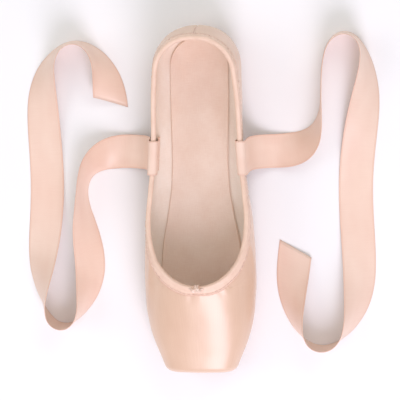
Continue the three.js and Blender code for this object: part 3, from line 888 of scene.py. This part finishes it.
def satin_finish():
    """Satin: long floating threads, cloudy colour, painted shade where it turns under to the sole, and
    painted shade along the grooves of its sewn seams.
    """
    pale = colour(231, 197, 171)
    deep = colour(220, 183, 156)
    # painted shade: the darker colour of the satin where it turns under towards the sole
    tan = colour(212, 168, 141)
    # painted shade along the grooves of the sewn seams
    line = colour(186, 136, 112)
    finish = Finish(
        "satin", Sheen_Weight=0.2, Sheen_Roughness=0.4, Sheen_Tint=pale, Specular_IOR_Level=1.0,
        Coat_Weight=0.45, Coat_Roughness=0.26,
    )
    place = finish.place()
    threads = finish.noise(finish.cloth(), (26, 0.34, 1), detail=3)
    clouds = finish.noise(place, (30, 20, 20))
    x, y, height = finish.parts(place)
    low = 1 - height.between(*TURN_UNDER)
    side_seam_shade = 1 - abs(x - SEAM_PLACE).between(*SEAM_LINE)
    heel_seam_shade = (1 - abs(y).between(*SEAM_LINE)) * (1 - x.between(*HEEL_LINE_ENDS))
    body = finish.blend(clouds.spread() * 0.5 + threads.spread() * 0.5, deep, pale)
    # painted shade low down, where the satin turns under to the sole
    painted_low_shade = finish.blend(low * 0.55, body, tan)
    # painted shade along the side seams and up the heel seam
    seam_shaded = finish.blend((side_seam_shade + heel_seam_shade) * 0.7, painted_low_shade, line)
    finish.relief(threads, distance=0.05, strength=0.5)
    return finish.show(seam_shaded, roughness=0.33 + 0.1 * threads.spread())


def ribbon_finish():
    """Ribbon: fine cross threads, and a ribbed, close woven edge on both sides."""
    pale = colour(246, 219, 201)
    deep = colour(236, 201, 181)
    selvedge = colour(232, 190, 168)
    finish = Finish(
        "ribbon_satin", Sheen_Weight=0.3, Sheen_Roughness=0.4, Sheen_Tint=pale, Specular_IOR_Level=0.6,
        Coat_Weight=0.15, Coat_Roughness=0.35,
    )
    cloth = finish.cloth()
    along, across, _ = finish.parts(cloth)
    edge = abs(across).between(*(RIBBON_WIDTH / 2 - margin for margin in RIBBON_SELVEDGE))
    threads = finish.noise(cloth, (0.5, 14, 1))
    clouds = finish.noise(cloth, (40, 16, 1))
    body = finish.blend(clouds.spread() * 0.6 + threads * 0.4, deep, pale)
    edged = finish.blend(edge * 0.55, body, selvedge)
    raised = edge * (0.6 + 0.4 * ribs(along, RIBBON_RIB))
    finish.relief(threads * 0.5 + raised, distance=0.12, strength=0.6)
    return finish.show(edged, roughness=0.34 + 0.12 * threads + 0.12 * edge)


def binding_finish():
    """Binding: a bias tape with a slanting weave, darker in the shade of its hem and stitches."""
    pale = colour(242, 212, 191)
    deep = colour(233, 199, 177)
    shade = colour(208, 158, 133)
    finish = Finish(
        "binding_cloth", Sheen_Weight=0.3, Sheen_Roughness=0.45, Sheen_Tint=pale, Specular_IOR_Level=0.5,
        Coat_Weight=0.08, Coat_Roughness=0.4,
    )
    cloth = finish.cloth()
    along, across, _ = finish.parts(cloth)
    slant = weave(along + across, along - across, pitch=0.9)
    clouds = finish.noise(cloth, (9, 3, 1))
    body = finish.blend(clouds.spread(0.25), deep, pale)
    hem = 1 - across.between(*HEM_SHADE)
    groove = 1 - abs(across - HEM_TO_STITCHES).between(*GROOVE_SHADE)
    lined = finish.blend(hem * 0.8 + groove * 0.45, body, shade)
    finish.relief(slant * 0.5 + clouds * 0.5, distance=0.12, strength=0.5)
    return finish.show(lined, roughness=0.42 + 0.1 * clouds)


def canvas_finish(name, pale, deep, pitch):
    """Matt cotton: a plain weave with uneven threads."""
    finish = Finish(name, Sheen_Weight=0.2, Sheen_Roughness=0.6, Sheen_Tint=pale, Specular_IOR_Level=0.25)
    cloth = finish.cloth()
    along, across, _ = finish.parts(cloth)
    threads = weave(along, across, pitch)
    slubs = finish.noise(cloth, (5, 0.6, 1)) * 0.5 + finish.noise(cloth, (0.6, 5, 1)) * 0.5
    clouds = finish.noise(cloth, (22, 18, 1))
    body = finish.blend(clouds.spread() * 0.6 + slubs.spread(0.15) * 0.4, deep, pale)
    finish.relief(threads * 0.6 + slubs * 0.4, distance=0.2, strength=0.6)
    return finish.show(body, roughness=0.78 + 0.1 * slubs)


def leather_finish():
    """Buffed sole leather: fine nap, pores, a few lengthwise marks and a darker rim."""
    pale = colour(224, 192, 173)
    deep = colour(206, 169, 149)
    mark = colour(186, 148, 128)
    rim = colour(196, 158, 138)
    finish = Finish("sole_leather", Specular_IOR_Level=0.3, Sheen_Weight=0.15, Sheen_Roughness=0.6)
    place = finish.place()
    nap = finish.noise(place, (0.9, 0.6, 0.9), detail=4, roughness=0.65)
    clouds = finish.noise(place, (24, 14, 20), detail=3)
    marks = finish.noise(place, (30, 1.1, 20)).between(*LEATHER_MARKS)
    height = finish.parts(place)[2]
    body = finish.blend(clouds.spread(), deep, pale)
    worn = finish.blend(marks * 0.35, body, mark)
    edged = finish.blend(height.between(*LEATHER_RIM) * 0.4, worn, rim)
    finish.relief(nap * 0.7 + marks * 0.3, distance=0.18, strength=0.7)
    return finish.show(edged, roughness=0.62 + 0.2 * nap)


def cord_finish(name, pale, deep, pitch):
    """Cotton cord or thread: strands that wind round it both ways, with painted shade between them."""
    finish = Finish(name, Sheen_Weight=0.3, Sheen_Roughness=0.5, Sheen_Tint=pale, Specular_IOR_Level=0.3)
    along, around, _ = finish.parts(finish.cloth())
    turn = 2 * math.pi / pitch
    strands = (along * turn + around).sine() * (along * turn - around).sine() * 0.5 + 0.5
    finish.relief(strands, distance=0.2, strength=0.7)
    # painted shade between the strands: the colour is deeper where the relief is low
    return finish.show(finish.blend(strands, deep, pale), roughness=0.7)


def floor_finish():
    """A pale studio floor."""
    finish = Finish("floor", Specular_IOR_Level=0.1)
    grain = finish.noise(finish.place(), (200, 200, 200))
    white = finish.blend(grain, colour(246, 246, 247), colour(250, 250, 250))
    return finish.show(white, roughness=0.9)


def normals_of(places):
    """Outward normals of rows of places over the upper."""
    return unit(np.cross(np.gradient(places, axis=0), np.gradient(places, axis=1)))


def topline_loop(size):
    """Points round the topline at even steps: from the throat along the left side to the heel and back."""
    u = np.linspace(0, 1, TOPLINE_POINTS)
    back = THROAT + (LENGTH - THROAT) * np.sin(smoothstep(u, 0, 1) * math.pi / 2)
    line = surface(back, top_angle(back))
    line[0, 1] = line[-1, 1] = 0
    return both_sides(evenly(line, round(run_along(line)[-1] / size) + 1))


def pleat_height(places, normals):
    """Folds under the toe, where the satin is drawn in to the outsole."""
    toe_share, toe_half, _ = BOTTOMS[0]
    x = places[..., 0] - (HALF_LENGTH - LENGTH * toe_share)
    y = places[..., 1]
    angle = np.arctan2(y, x)
    length = PLEAT_SHORT + (PLEAT_LENGTH - PLEAT_SHORT) * np.maximum(0, np.cos(angle)) ** PLEAT_SHORTENS
    way = (np.hypot(x, y) - HALF_BALL * toe_half) / length
    phase = (angle / math.pi + 0.5) * (PLEAT_COUNT - 1)
    lean = phase + PLEAT_LEAN * np.sin(2 * math.pi * phase)
    fold = (0.5 + 0.5 * np.cos(2 * math.pi * lean)) ** PLEAT_BLUNT - PLEAT_MIDDLE
    fade = smoothstep(way, *PLEAT_STARTS) * (1 - smoothstep(way, *PLEAT_ENDS))
    below = smoothstep(-normals[..., 2], *PLEAT_FACING) * (np.abs(angle) < PLEAT_FAN)
    return PLEAT_HEIGHT * fold * fade * below


def crease_depth(places):
    """Soft troughs with low ridges beside them, from the table of creases."""
    depth = np.zeros(places.shape[:2])
    flat = places.reshape(-1, 3)
    share = np.linspace(0, 1, CREASE_STEPS)
    for row in CREASES:
        crease = dict(zip(CREASE_COLUMNS, row))
        back = crease["back_a"] + (crease["back_b"] - crease["back_a"]) * share
        high = crease["high_a"] + (crease["high_b"] - crease["high_a"]) * share
        line = on_side(back, high - CREASE_BOW * np.sin(share * math.pi), crease["side"])
        near = np.linalg.norm(flat - line[CREASE_STEPS // 2], axis=1) < CREASE_REACH
        gap, index = nearest_on(flat[near], line)
        taper = np.sin(share[index] * math.pi) ** CREASE_TAPER
        q = gap / crease["width"]
        depth.reshape(-1)[near] += crease["depth"] * taper * (1 - CREASE_RIDGE * q**2) * bell(q, 1)
    return depth


def seam_depth(places, backs):
    """Grooves of the two side seams and of the seam up the heel."""
    behind = backs[:, None] - SEAM_BACK
    side = bell(behind, SEAM_WIDTH) - SEAM_LIP_SHARE * bell(behind - SEAM_LIP, SEAM_LIP_WIDTH)
    heel = bell(places[..., 1], SEAM_WIDTH) * smoothstep(backs[:, None], *HEEL_SEAM_STARTS)
    return smoothstep(places[..., 2], *SEAM_RISES) * SEAM_DEPTH * side + HEEL_SEAM_DEPTH * heel


def add_upper(material):
    """Satin: the whole outside of the upper, pleated under the toe, creased and seamed."""
    places, cloth, backs = shell(SATIN_POINTS)
    normals = normals_of(places)
    gap, index = nearest_on(places.reshape(-1, 3), topline_loop(SATIN_EDGE_STEP))
    gap = gap.reshape(places.shape[:2])
    run = SATIN_EDGE_STEP * index.reshape(places.shape[:2])
    gather = GATHER * waves(run, SATIN_PUCKER) * bell(gap - BINDING_WIDTH, GATHER_RUN)
    slack = math.prod(np.sin(cloth[..., 0] / back + cloth[..., 1] / aside) for back, aside in SLACK_WAVES)
    lift = pleat_height(places, normals) - crease_depth(places) - seam_depth(places, backs)
    lift += gather + SLACK * slack * (backs[:, None] > 0)
    lift[0] = 0
    lift[:, [0, -1]] = 0
    places = places + normals * lift[..., None]
    places[-1] = (places[-1] + places[-1, ::-1]) / 2
    places[-1, :, 1] = 0
    upper = cloth_piece("upper_satin", places, cloth)
    points = [tuple(v.co / MM) for v in upper.data.vertices]
    tree = BVHTree.FromPolygons(points, [tuple(p.vertices) for p in upper.data.polygons])
    thicken(upper, SATIN_THICK, -1)
    finish_piece(upper, material, "satin", "upper")
    return tree


def add_lining(material):
    """Canvas lining: the inside of the upper."""
    places, cloth, _ = shell(LINING_POINTS, inside=True, coarser=LINING_COARSER)
    lining = thicken(cloth_piece("canvas_lining", places, cloth), LINING_THICK, 1)
    finish_piece(lining, material, "insole_cloth")


def outline(name):
    """Edge of a sole in plan at even steps, and for each of its points the place on the middle line."""
    toe_back = BOTTOMS[0][0] * LENGTH
    heel_back = BOTTOMS[-1][0] * LENGTH
    back = np.linspace(toe_back, heel_back, PLAN_POINTS)
    width = HALF_BALL * curve_of(BOTTOM_COLUMNS, BOTTOMS, name)(back)
    turn = np.linspace(0, math.pi / 2, PLAN_TURN_POINTS)
    toe = np.stack([HALF_LENGTH - toe_back + width[0] * np.cos(turn), width[0] * np.sin(turn)], -1)
    side = np.stack([HALF_LENGTH - back, width], -1)
    heel = np.stack([HALF_LENGTH - heel_back - width[-1] * np.sin(turn), width[-1] * np.cos(turn)], -1)
    left = evenly(np.vstack([toe[:-1], side, heel[1:]]), SOLE_POINTS // 2 + 1)
    left[[0, -1], 1] = 0
    edge = both_sides(left)
    spine_x = np.clip(edge[:, 0], HALF_LENGTH - heel_back, HALF_LENGTH - toe_back)
    return edge, np.stack([spine_x, 0 * spine_x], -1)


def inward(edge, spine, distance):
    """The outline drawn in by a distance, but no farther than the middle line."""
    way = spine - edge
    width = np.linalg.norm(way, axis=1, keepdims=True)
    return edge + way * np.minimum(1, distance / np.maximum(width, TINY))


def add_layer(name, edge, spine, rings, material, slot, node):
    """A closed sole layer through rings of (distance in from the edge, height over the floor)."""
    rows = []
    for distance, height in rings:
        plan = inward(edge, spine, distance)
        rows.append(np.column_stack([plan, height(plan[:, 0], plan[:, 1])]))
    places = np.array(rows)
    places = np.concatenate([places, places[:, :1]], axis=1)
    layer = cloth_piece(name, places, places[..., :2])
    finish_piece(layer, material, slot, node)


def add_outsole(material):
    """Outsole with its sewing channel underneath, and the line that its stitches follow."""
    edge, spine = outline("sole")

    def floor_side(lift):
        return lambda x, y: sole_rise(HALF_LENGTH - x) + lift

    def upper_side(drop):
        return lambda x, y: underside(x, y, 0.0) - drop

    rings = [(distance, floor_side(0)) for distance in OUTSOLE_UNDER]
    for across in np.linspace(-1, 1, CHANNEL_ROWS):
        lift = CHANNEL_DEPTH * math.cos(across * math.pi / 2)
        rings.append((CHANNEL - CHANNEL_HALF * across, floor_side(lift)))
    for turn in np.linspace(0, math.pi / 2, RIM_ROWS):
        rings.append((RIM_ROUND * (1 - math.sin(turn)), floor_side(RIM_ROUND * (1 - math.cos(turn)))))
    rings += [(0, upper_side(drop)) for drop in OUTSOLE_SIDE]
    rings += [(distance, upper_side(OUTSOLE_SEAT)) for distance in OUTSOLE_OVER]
    add_layer("outsole_leather", edge, spine, rings, material, "sole_leather", "outsole")
    line = inward(edge, spine, CHANNEL)
    height = sole_rise(HALF_LENGTH - line[:, 0]) + CHANNEL_STITCH_LIFT * SOLE_THREAD
    return np.column_stack([line, height])


def add_insole(material):
    """Sock layer on the floor of the shoe."""
    edge, spine = outline("insole")

    def floor_side(lift):
        return lambda x, y: underside(x, y, 0.0) + wall(HALF_LENGTH - x) + FIT_GAP + lift

    rings = [(distance, floor_side(INSOLE_SEAT)) for distance in INSOLE_UNDER]
    for turn in np.linspace(0, math.pi / 2, RIM_ROWS):
        lift = INSOLE_THICK - INSOLE_ROUND + INSOLE_ROUND * math.sin(turn)
        rings.append((INSOLE_ROUND * (1 - math.cos(turn)), floor_side(lift)))
    rings += [(distance, floor_side(INSOLE_THICK)) for distance in INSOLE_OVER]
    add_layer("insole_sock", edge, spine, rings[::-1], material, "insole_cloth", "insole")


def quarter_flare():
    """How much a quarter widens towards the toe where a ribbon crosses it."""
    edges = HALF_LENGTH - RIBBON_PLACE + np.array((-0.5, 0.5)) * RIBBON_WIDTH
    to_toe, to_heel = section(edges, 0.0)[0]
    return (to_toe - to_heel) / RIBBON_WIDTH


def floor_gap(standing):
    """Height of a lying ribbon's lower edge: half its cloth where flat, almost none where it stands."""
    return FLOOR_SLIP + RIBBON_CLOTH / 2 * np.sqrt(np.maximum(0, 1 - standing**2))


def ribbon_route(side, lie):
    """Middle line of a ribbon, and the way across it, at close steps."""
    hang = np.array([(RIBBON_PLACE, side * out, height) for out, height in RIBBON_HANG], float)
    roll = np.radians([row[2] for row in lie])
    rest = np.array([(x, side * out, 0) for x, out, _ in lie], float)
    rest[:, 2] = RIBBON_WIDTH / 2 * np.sin(roll) + RIBBON_LIFT
    points = np.vstack([hang, rest])
    rolls = np.concatenate([np.zeros(len(hang)), roll])
    middle = through(points, RIBBON_EACH)
    step = np.linspace(0, len(points) - 1, len(middle))
    roll_there = np.interp(step, np.arange(len(points)), rolls)[:, None]
    landing = len(hang) - 1
    lying = step >= landing
    along = unit(np.gradient(middle, axis=0))
    hanging_way = (side, quarter_flare(), 0)
    flat = np.where(lying[:, None], np.stack([along[:, 1], -along[:, 0], 0 * step], -1), hanging_way)
    across = unit(flat) * np.cos(roll_there) + np.sin(roll_there) * np.array((0, 0, 1))
    middle = even_out(middle, RIBBON_EACH // 2)
    across = unit(even_out(across, RIBBON_EACH // 2))
    middle[lying, 2] = RIBBON_WIDTH / 2 * across[lying, 2] + floor_gap(across[lying, 2])
    soft = even_out(even_out(middle[:, 2:], RIBBON_EACH), RIBBON_EACH)[:, 0]
    soften = 1 - smoothstep(np.abs(step - landing), *RIBBON_LANDING)
    middle[:, 2] += (soft - middle[:, 2]) * soften
    return middle, across


def onto_collar(places):
    """Lets the hanging stretch of a ribbon down until it lies along the binding's top."""
    hanging = np.arange(len(places)) < (len(RIBBON_HANG) - 1) * RIBBON_EACH
    collar = HEEL_HEIGHT * topline_share(HALF_LENGTH - places[..., 0]) + BINDING_TOP + RIBBON_CLOTH / 2
    slack = max(height for _, height in RIBBON_HANG) - collar - RIBBON_SEAT
    sink = np.maximum(0, slack) * smoothstep(places[..., 2], RIBBON_LIFT, RIBBON_WIDTH)
    places[..., 2] -= sink * hanging[:, None]
    return places


def add_ribbon(name, side, lie, material):
    """A ribbon along its route, slightly cupped, with a slanting cut end."""
    middle, across = ribbon_route(side, lie)
    run = run_along(middle)
    length = run[-1]
    face = unit(np.cross(np.gradient(middle, axis=0), across))
    to_end = np.clip((run - (length - RIBBON_SLANT_RUN)) / RIBBON_SLANT_RUN, 0, 1)
    offsets = RIBBON_WIDTH / 2 * np.array(RIBBON_ACROSS)
    columns = []
    for share, offset in zip(RIBBON_ACROSS, offsets):
        at = run - RIBBON_SLANT * (share + 1) / 2 * to_end
        wave = np.sin(at / RIBBON_CUP_WAVE + side) * smoothstep(at, *RIBBON_CUP_STARTS)
        cup = RIBBON_CUP * (1 - share**2) * wave
        place = read_line(at, run, middle + across * offset)
        columns.append(place + read_line(at, run, face) * cup[:, None])
    places = onto_collar(np.stack(columns, 1))
    places[..., 2] = np.maximum(places[..., 2], floor_gap(across[:, 2:]))
    ribbon = thicken(cloth_piece(name + "_satin", places, cloth_map(run, offsets)), RIBBON_CLOTH, 0)
    finish_piece(ribbon, material, "ribbon_satin", name)
    middle[0] * MM
    middle * MM


def add_binding(tree, material):
    """Binding folded over the topline with the drawstring in its top. Returns the lines and normals that
    its stitches follow, the topline and the way down from it."""
    loop = topline_loop(BINDING_STEP)
    along = unit(np.roll(loop, -1, axis=0) - np.roll(loop, 1, axis=0))
    normal = np.array([tree.find_nearest(Vector(p))[1] for p in loop])
    normal = unit(even_round(normal, NORMAL_REACH))
    down = unit(np.cross(along, normal))
    run = BINDING_STEP * np.arange(len(loop) + 1)
    gather = waves(run[:-1], BINDING_PUCKER)
    thick = wall(HALF_LENGTH - loop[:, 0])

    def on_satin(depth):
        """Points on the satin some way down from the edge, with their normals."""
        hits = [tree.find_nearest(Vector(p)) for p in loop + down * depth]
        face = unit(even_round(np.array([hit[1] for hit in hits]), NORMAL_REACH))
        return even_round(np.array([hit[0] for hit in hits]), 1), face

    def face_row(depth, out, inside):
        """A row of the binding's outer or inner face."""
        point, face = on_satin(max(depth, BINDING_LEAST_DROP))
        bulge = math.sin(math.pi * min(1, depth / BINDING_WIDTH)) ** 0.5
        off = out + BINDING_FACE_GATHER * gather * bulge
        return point + face * (-(thick + off) if inside else off)[:, None]

    def back_row(depth, inside):
        """A row against the wall."""
        point, face = on_satin(depth)
        return point - face * (thick + BINDING_SEAT)[:, None] if inside else point + face * BINDING_SEAT

    rows = [face_row(depth, out, False) for depth, out in BINDING_FACE]
    for turn in np.linspace(BINDING_TOP_TURN, math.pi - BINDING_TOP_TURN, BINDING_TOP_ROWS):
        rise = BINDING_TOP_FOOT + (BINDING_TOP - BINDING_TOP_FOOT) * math.sin(turn)
        rise = rise + BINDING_TOP_GATHER * gather * math.sin(turn)
        out = (thick / 2 + BINDING_TOP_OUT) * math.cos(turn) - thick / 2
        rows.append(loop - down * rise[:, None] + normal * out[:, None])
    rows += [face_row(depth, out, True) for depth, out in BINDING_FACE[::-1]]
    rows += [back_row(depth, True) for depth in BINDING_BACK]
    rows += [back_row(depth, False) for depth in BINDING_BACK[::-1]]
    places = np.stack([*rows, rows[0]], 1)
    places = np.concatenate([places, places[:1]])
    binding = cloth_piece("binding_tape", places, cloth_map(run, run_along(places[0])))
    finish_piece(binding, material, "binding_cloth", "binding")
    point, face = on_satin(STITCH_LINE)
    off = STITCH_OUT + STITCH_STANDS_OFF * THREAD_RADIUS
    lines = [(point + face * off, face), (point - face * thick[:, None] - face * off, -face)]
    return lines, loop, down


def stitch_points(line, normals, pitch, length):
    """Ends and normals of stitches spaced along a closed line."""
    closed = np.vstack([line, line[:1]])
    around = np.vstack([normals, normals[:1]])
    run = run_along(closed)
    count = int(run[-1] // pitch)
    start = np.arange(count) * run[-1] / count

    def read(way, values):
        return read_line((start + way) % run[-1], run, values)

    return read(0, closed), read(length, closed), unit(read(length / 2, around))


def add_stitches(name, ends, material, slot, radius=THREAD_RADIUS):
    """Stitches between pairs of ends: one short thread that dips into the cloth at both ends, and copies."""
    start, end, normal = ends
    way = end - start
    across = unit(np.cross(normal, unit(way)))
    level, girth, sink = np.array(STITCH_FORM).T[..., None]
    turn = np.linspace(0, 2 * math.pi, STITCH_SIDES + 1)
    form = (level, girth * radius * np.cos(turn), girth * radius * np.sin(turn) - sink * radius)
    places = np.stack(np.broadcast_arrays(*form), -1)
    cloth = cloth_map(level[:, 0] * np.linalg.norm(way[0]), turn)
    stitch = cloth_piece(name, places, cloth, STITCH_SIDES)
    points = np.array([vertex.co for vertex in stitch.data.vertices]) / MM
    stitches = [stitch]
    for _ in start[1:]:
        copy = stitch.copy()
        copy.data = stitch.data.copy()
        bpy.context.collection.objects.link(copy)
        stitches.append(copy)
    for piece, place, axes in zip(stitches, start, np.stack([way, across, normal], 1)):
        piece.data.vertices.foreach_set("co", ((place + points @ axes) * MM).ravel())
    select(*stitches)
    bpy.ops.object.join()
    finish_piece(stitch, material, slot)


def add_ribbon_stitches(name, side, material):
    """Stitches round the sewn end of a ribbon and across it, on its face inside the quarter."""
    half = RIBBON_WIDTH / 2 - SEWN_MARGIN
    low_toe, low_heel = (half, SEWN_FROM), (-half, SEWN_FROM)
    high_toe, high_heel = (half, SEWN_TO), (-half, SEWN_TO)
    corners = np.array([low_heel, low_toe, high_toe, high_heel, low_heel, high_toe])
    starts = []
    ends = []
    for a, b in zip(corners[:-1], corners[1:]):
        count = round(np.linalg.norm(b - a) / SEWN_PITCH)
        share = np.arange(count)[:, None] / count
        starts.append(a + (b - a) * share)
        ends.append(a + (b - a) * (share + SEWN_STITCH / SEWN_PITCH / count))
    out, height = np.array(RIBBON_HANG[:SEWN_HANG]).T
    flare = quarter_flare()

    def on_face(plan):
        y = np.interp(plan[:, 1], height, out) + flare * plan[:, 0] - RIBBON_CLOTH / 2
        return np.column_stack([RIBBON_PLACE + plan[:, 0], side * y, plan[:, 1]])

    start = on_face(np.vstack(starts))
    end = on_face(np.vstack(ends))
    normal = np.repeat([[0.0, -side, 0.0]], len(start), 0)
    add_stitches(name, (start, end, normal), material, "ribbon_satin")


def tube(path, radius):
    """Rows of a round cord along a path, closed at both ends, with its cloth map."""
    along = unit(np.gradient(path, axis=0))
    turn = np.linspace(0, 2 * math.pi, CORD_SIDES + 1)
    side = unit(np.cross(along[0], CORD_ASKEW))
    rows = []
    for point, direction in zip(path, along):
        side = unit(side - direction * np.dot(side, direction))
        ring = np.cos(turn)[:, None] * side + np.sin(turn)[:, None] * np.cross(direction, side)
        rows.append(point + radius * ring)
    closed = [np.repeat(path[:1], CORD_SIDES + 1, 0), *rows, np.repeat(path[-1:], CORD_SIDES + 1, 0)]
    return np.array(closed), cloth_map(run_along(np.vstack([path[:1], path, path[-1:]])), turn)


def add_knot(throat, down, material):
    """Drawstring: two strands out of the binding at the throat, an overhand knot and two loose ends."""
    normal = np.array((-down[2], 0, down[0]))
    aside_way = np.array((0, 1, 0))

    def at(way, side):
        over, out, aside = np.array(way, float).T[..., None]
        return throat - over * down + out * normal + aside * side * aside_way

    stands_off = BINDING_FACE[-1][1] + KNOT_STANDS_OFF * KNOT_RADIUS
    t = np.linspace(0, 2 * math.pi, KNOT_POINTS)
    turns = np.stack([np.cos(t) - 2 * np.cos(2 * t), np.sin(t) + 2 * np.sin(2 * t), -np.sin(3 * t)], -1)
    lump = (turns * KNOT_SPREAD) @ np.array((down, aside_way, normal))
    strands = [tube(at([(-KNOT_DROP, stands_off, 0)], LEFT) + lump, KNOT_CORD)]
    for side in (LEFT, RIGHT):
        strands.append(tube(through(at(CORD_OUT, side), CORD_EACH), CORD_RADIUS))
        edge = at(CORD_OVER, side)
        tips = [(tuck * CORD_TUCK, side * aside, -fall * CORD_TAIL) for tuck, aside, fall in CORD_TIPS]
        strands.append(tube(through(np.vstack([edge, edge[-1] + tips]), CORD_EACH), CORD_RADIUS))
    select(*[cloth_piece(f"drawstring_{i}", *strand) for i, strand in enumerate(strands)])
    bpy.ops.object.join()
    knot = bpy.context.object
    knot.name = "drawstring_cord"
    finish_piece(knot, material, "drawstring_cord", "drawstring_knot")


def add_camera():
    away = Vector((-math.tan(VIEW_FROM_HEEL), math.tan(VIEW_FROM_LEFT), 1)).normalized()
    right = (Vector((0, 1, 0)) - away * away.y).normalized()
    up = away.cross(right)
    lens = bpy.data.cameras.new("camera")
    lens.sensor_width = SENSOR
    lens.lens = SENSOR * VIEW_DISTANCE / VIEW_WIDTH
    camera = bpy.data.objects.new("camera", lens)
    turn = Matrix((right, up, away)).transposed().to_4x4()
    camera.matrix_world = Matrix.Translation((VIEW_AIM + away * VIEW_DISTANCE) * MM) @ turn
    bpy.context.collection.objects.link(camera)
    bpy.context.scene.camera = camera


def add_floor():
    select()
    bpy.ops.mesh.primitive_plane_add(size=FLOOR_SIZE * MM)
    floor = bpy.context.object
    floor.name = "floor"
    floor.data.materials.append(floor_finish())


def add_lights():
    world = bpy.data.worlds.new("studio")
    world.use_nodes = True
    background = world.node_tree.nodes["Background"]
    background.inputs["Color"].default_value = (1, 1, 1, 1)
    background.inputs["Strength"].default_value = WORLD_LIGHT
    bpy.context.scene.world = world
    bpy.context.scene.view_settings.view_transform = "Standard"
    for name, place, aim, size, watts, tint in LIGHTS:
        lamp = bpy.data.lights.new(name, "AREA")
        lamp.shape = "RECTANGLE"
        lamp.size = size[0] * MM
        lamp.size_y = size[1] * MM
        lamp.energy = watts
        lamp.color = tint
        light = bpy.data.objects.new(name, lamp)
        light.location = Vector(place) * MM
        light.rotation_euler = (Vector(aim) - Vector(place)).to_track_quat("-Z", "Y").to_euler()
        bpy.context.collection.objects.link(light)


add_camera()
ribbon_cloth = ribbon_finish()
add_ribbon("ribbon_left", LEFT, LEFT_LIE, ribbon_cloth)
add_ribbon("ribbon_right", RIGHT, RIGHT_LIE, ribbon_cloth)

lining = canvas_finish("lining_canvas", colour(250, 238, 226), colour(240, 222, 206), pitch=0.8)
sock = canvas_finish("insole_cloth", colour(245, 226, 211), colour(234, 208, 190), pitch=1.0)
thread = cord_finish("sewing_thread", colour(252, 232, 220), colour(226, 186, 166), pitch=0.6)
cord = cord_finish("drawstring_cotton", colour(252, 230, 216), colour(232, 196, 176), pitch=1.4)

satin_tree = add_upper(satin_finish())
add_lining(lining)
channel = add_outsole(leather_finish())
add_insole(sock)
stitch_lines, topline, topline_down = add_binding(satin_tree, binding_finish())
for word, (line, normals) in zip(("outer", "inner"), stitch_lines):
    binding_stitches = stitch_points(line, normals, *BINDING_STITCH)
    add_stitches(f"binding_stitches_{word}", binding_stitches, thread, "binding_cloth")
floor_way = np.repeat([[0.0, 0.0, -1.0]], len(channel), 0)
sole_stitches = stitch_points(channel, floor_way, *SOLE_STITCH)
add_stitches("sole_stitches", sole_stitches, thread, "sole_leather", SOLE_THREAD)
for word, side in (("left", LEFT), ("right", RIGHT)):
    add_ribbon_stitches(f"ribbon_stitches_{word}", side, thread)
add_knot(topline[0], topline_down[0], cord)
add_floor()
add_lights()
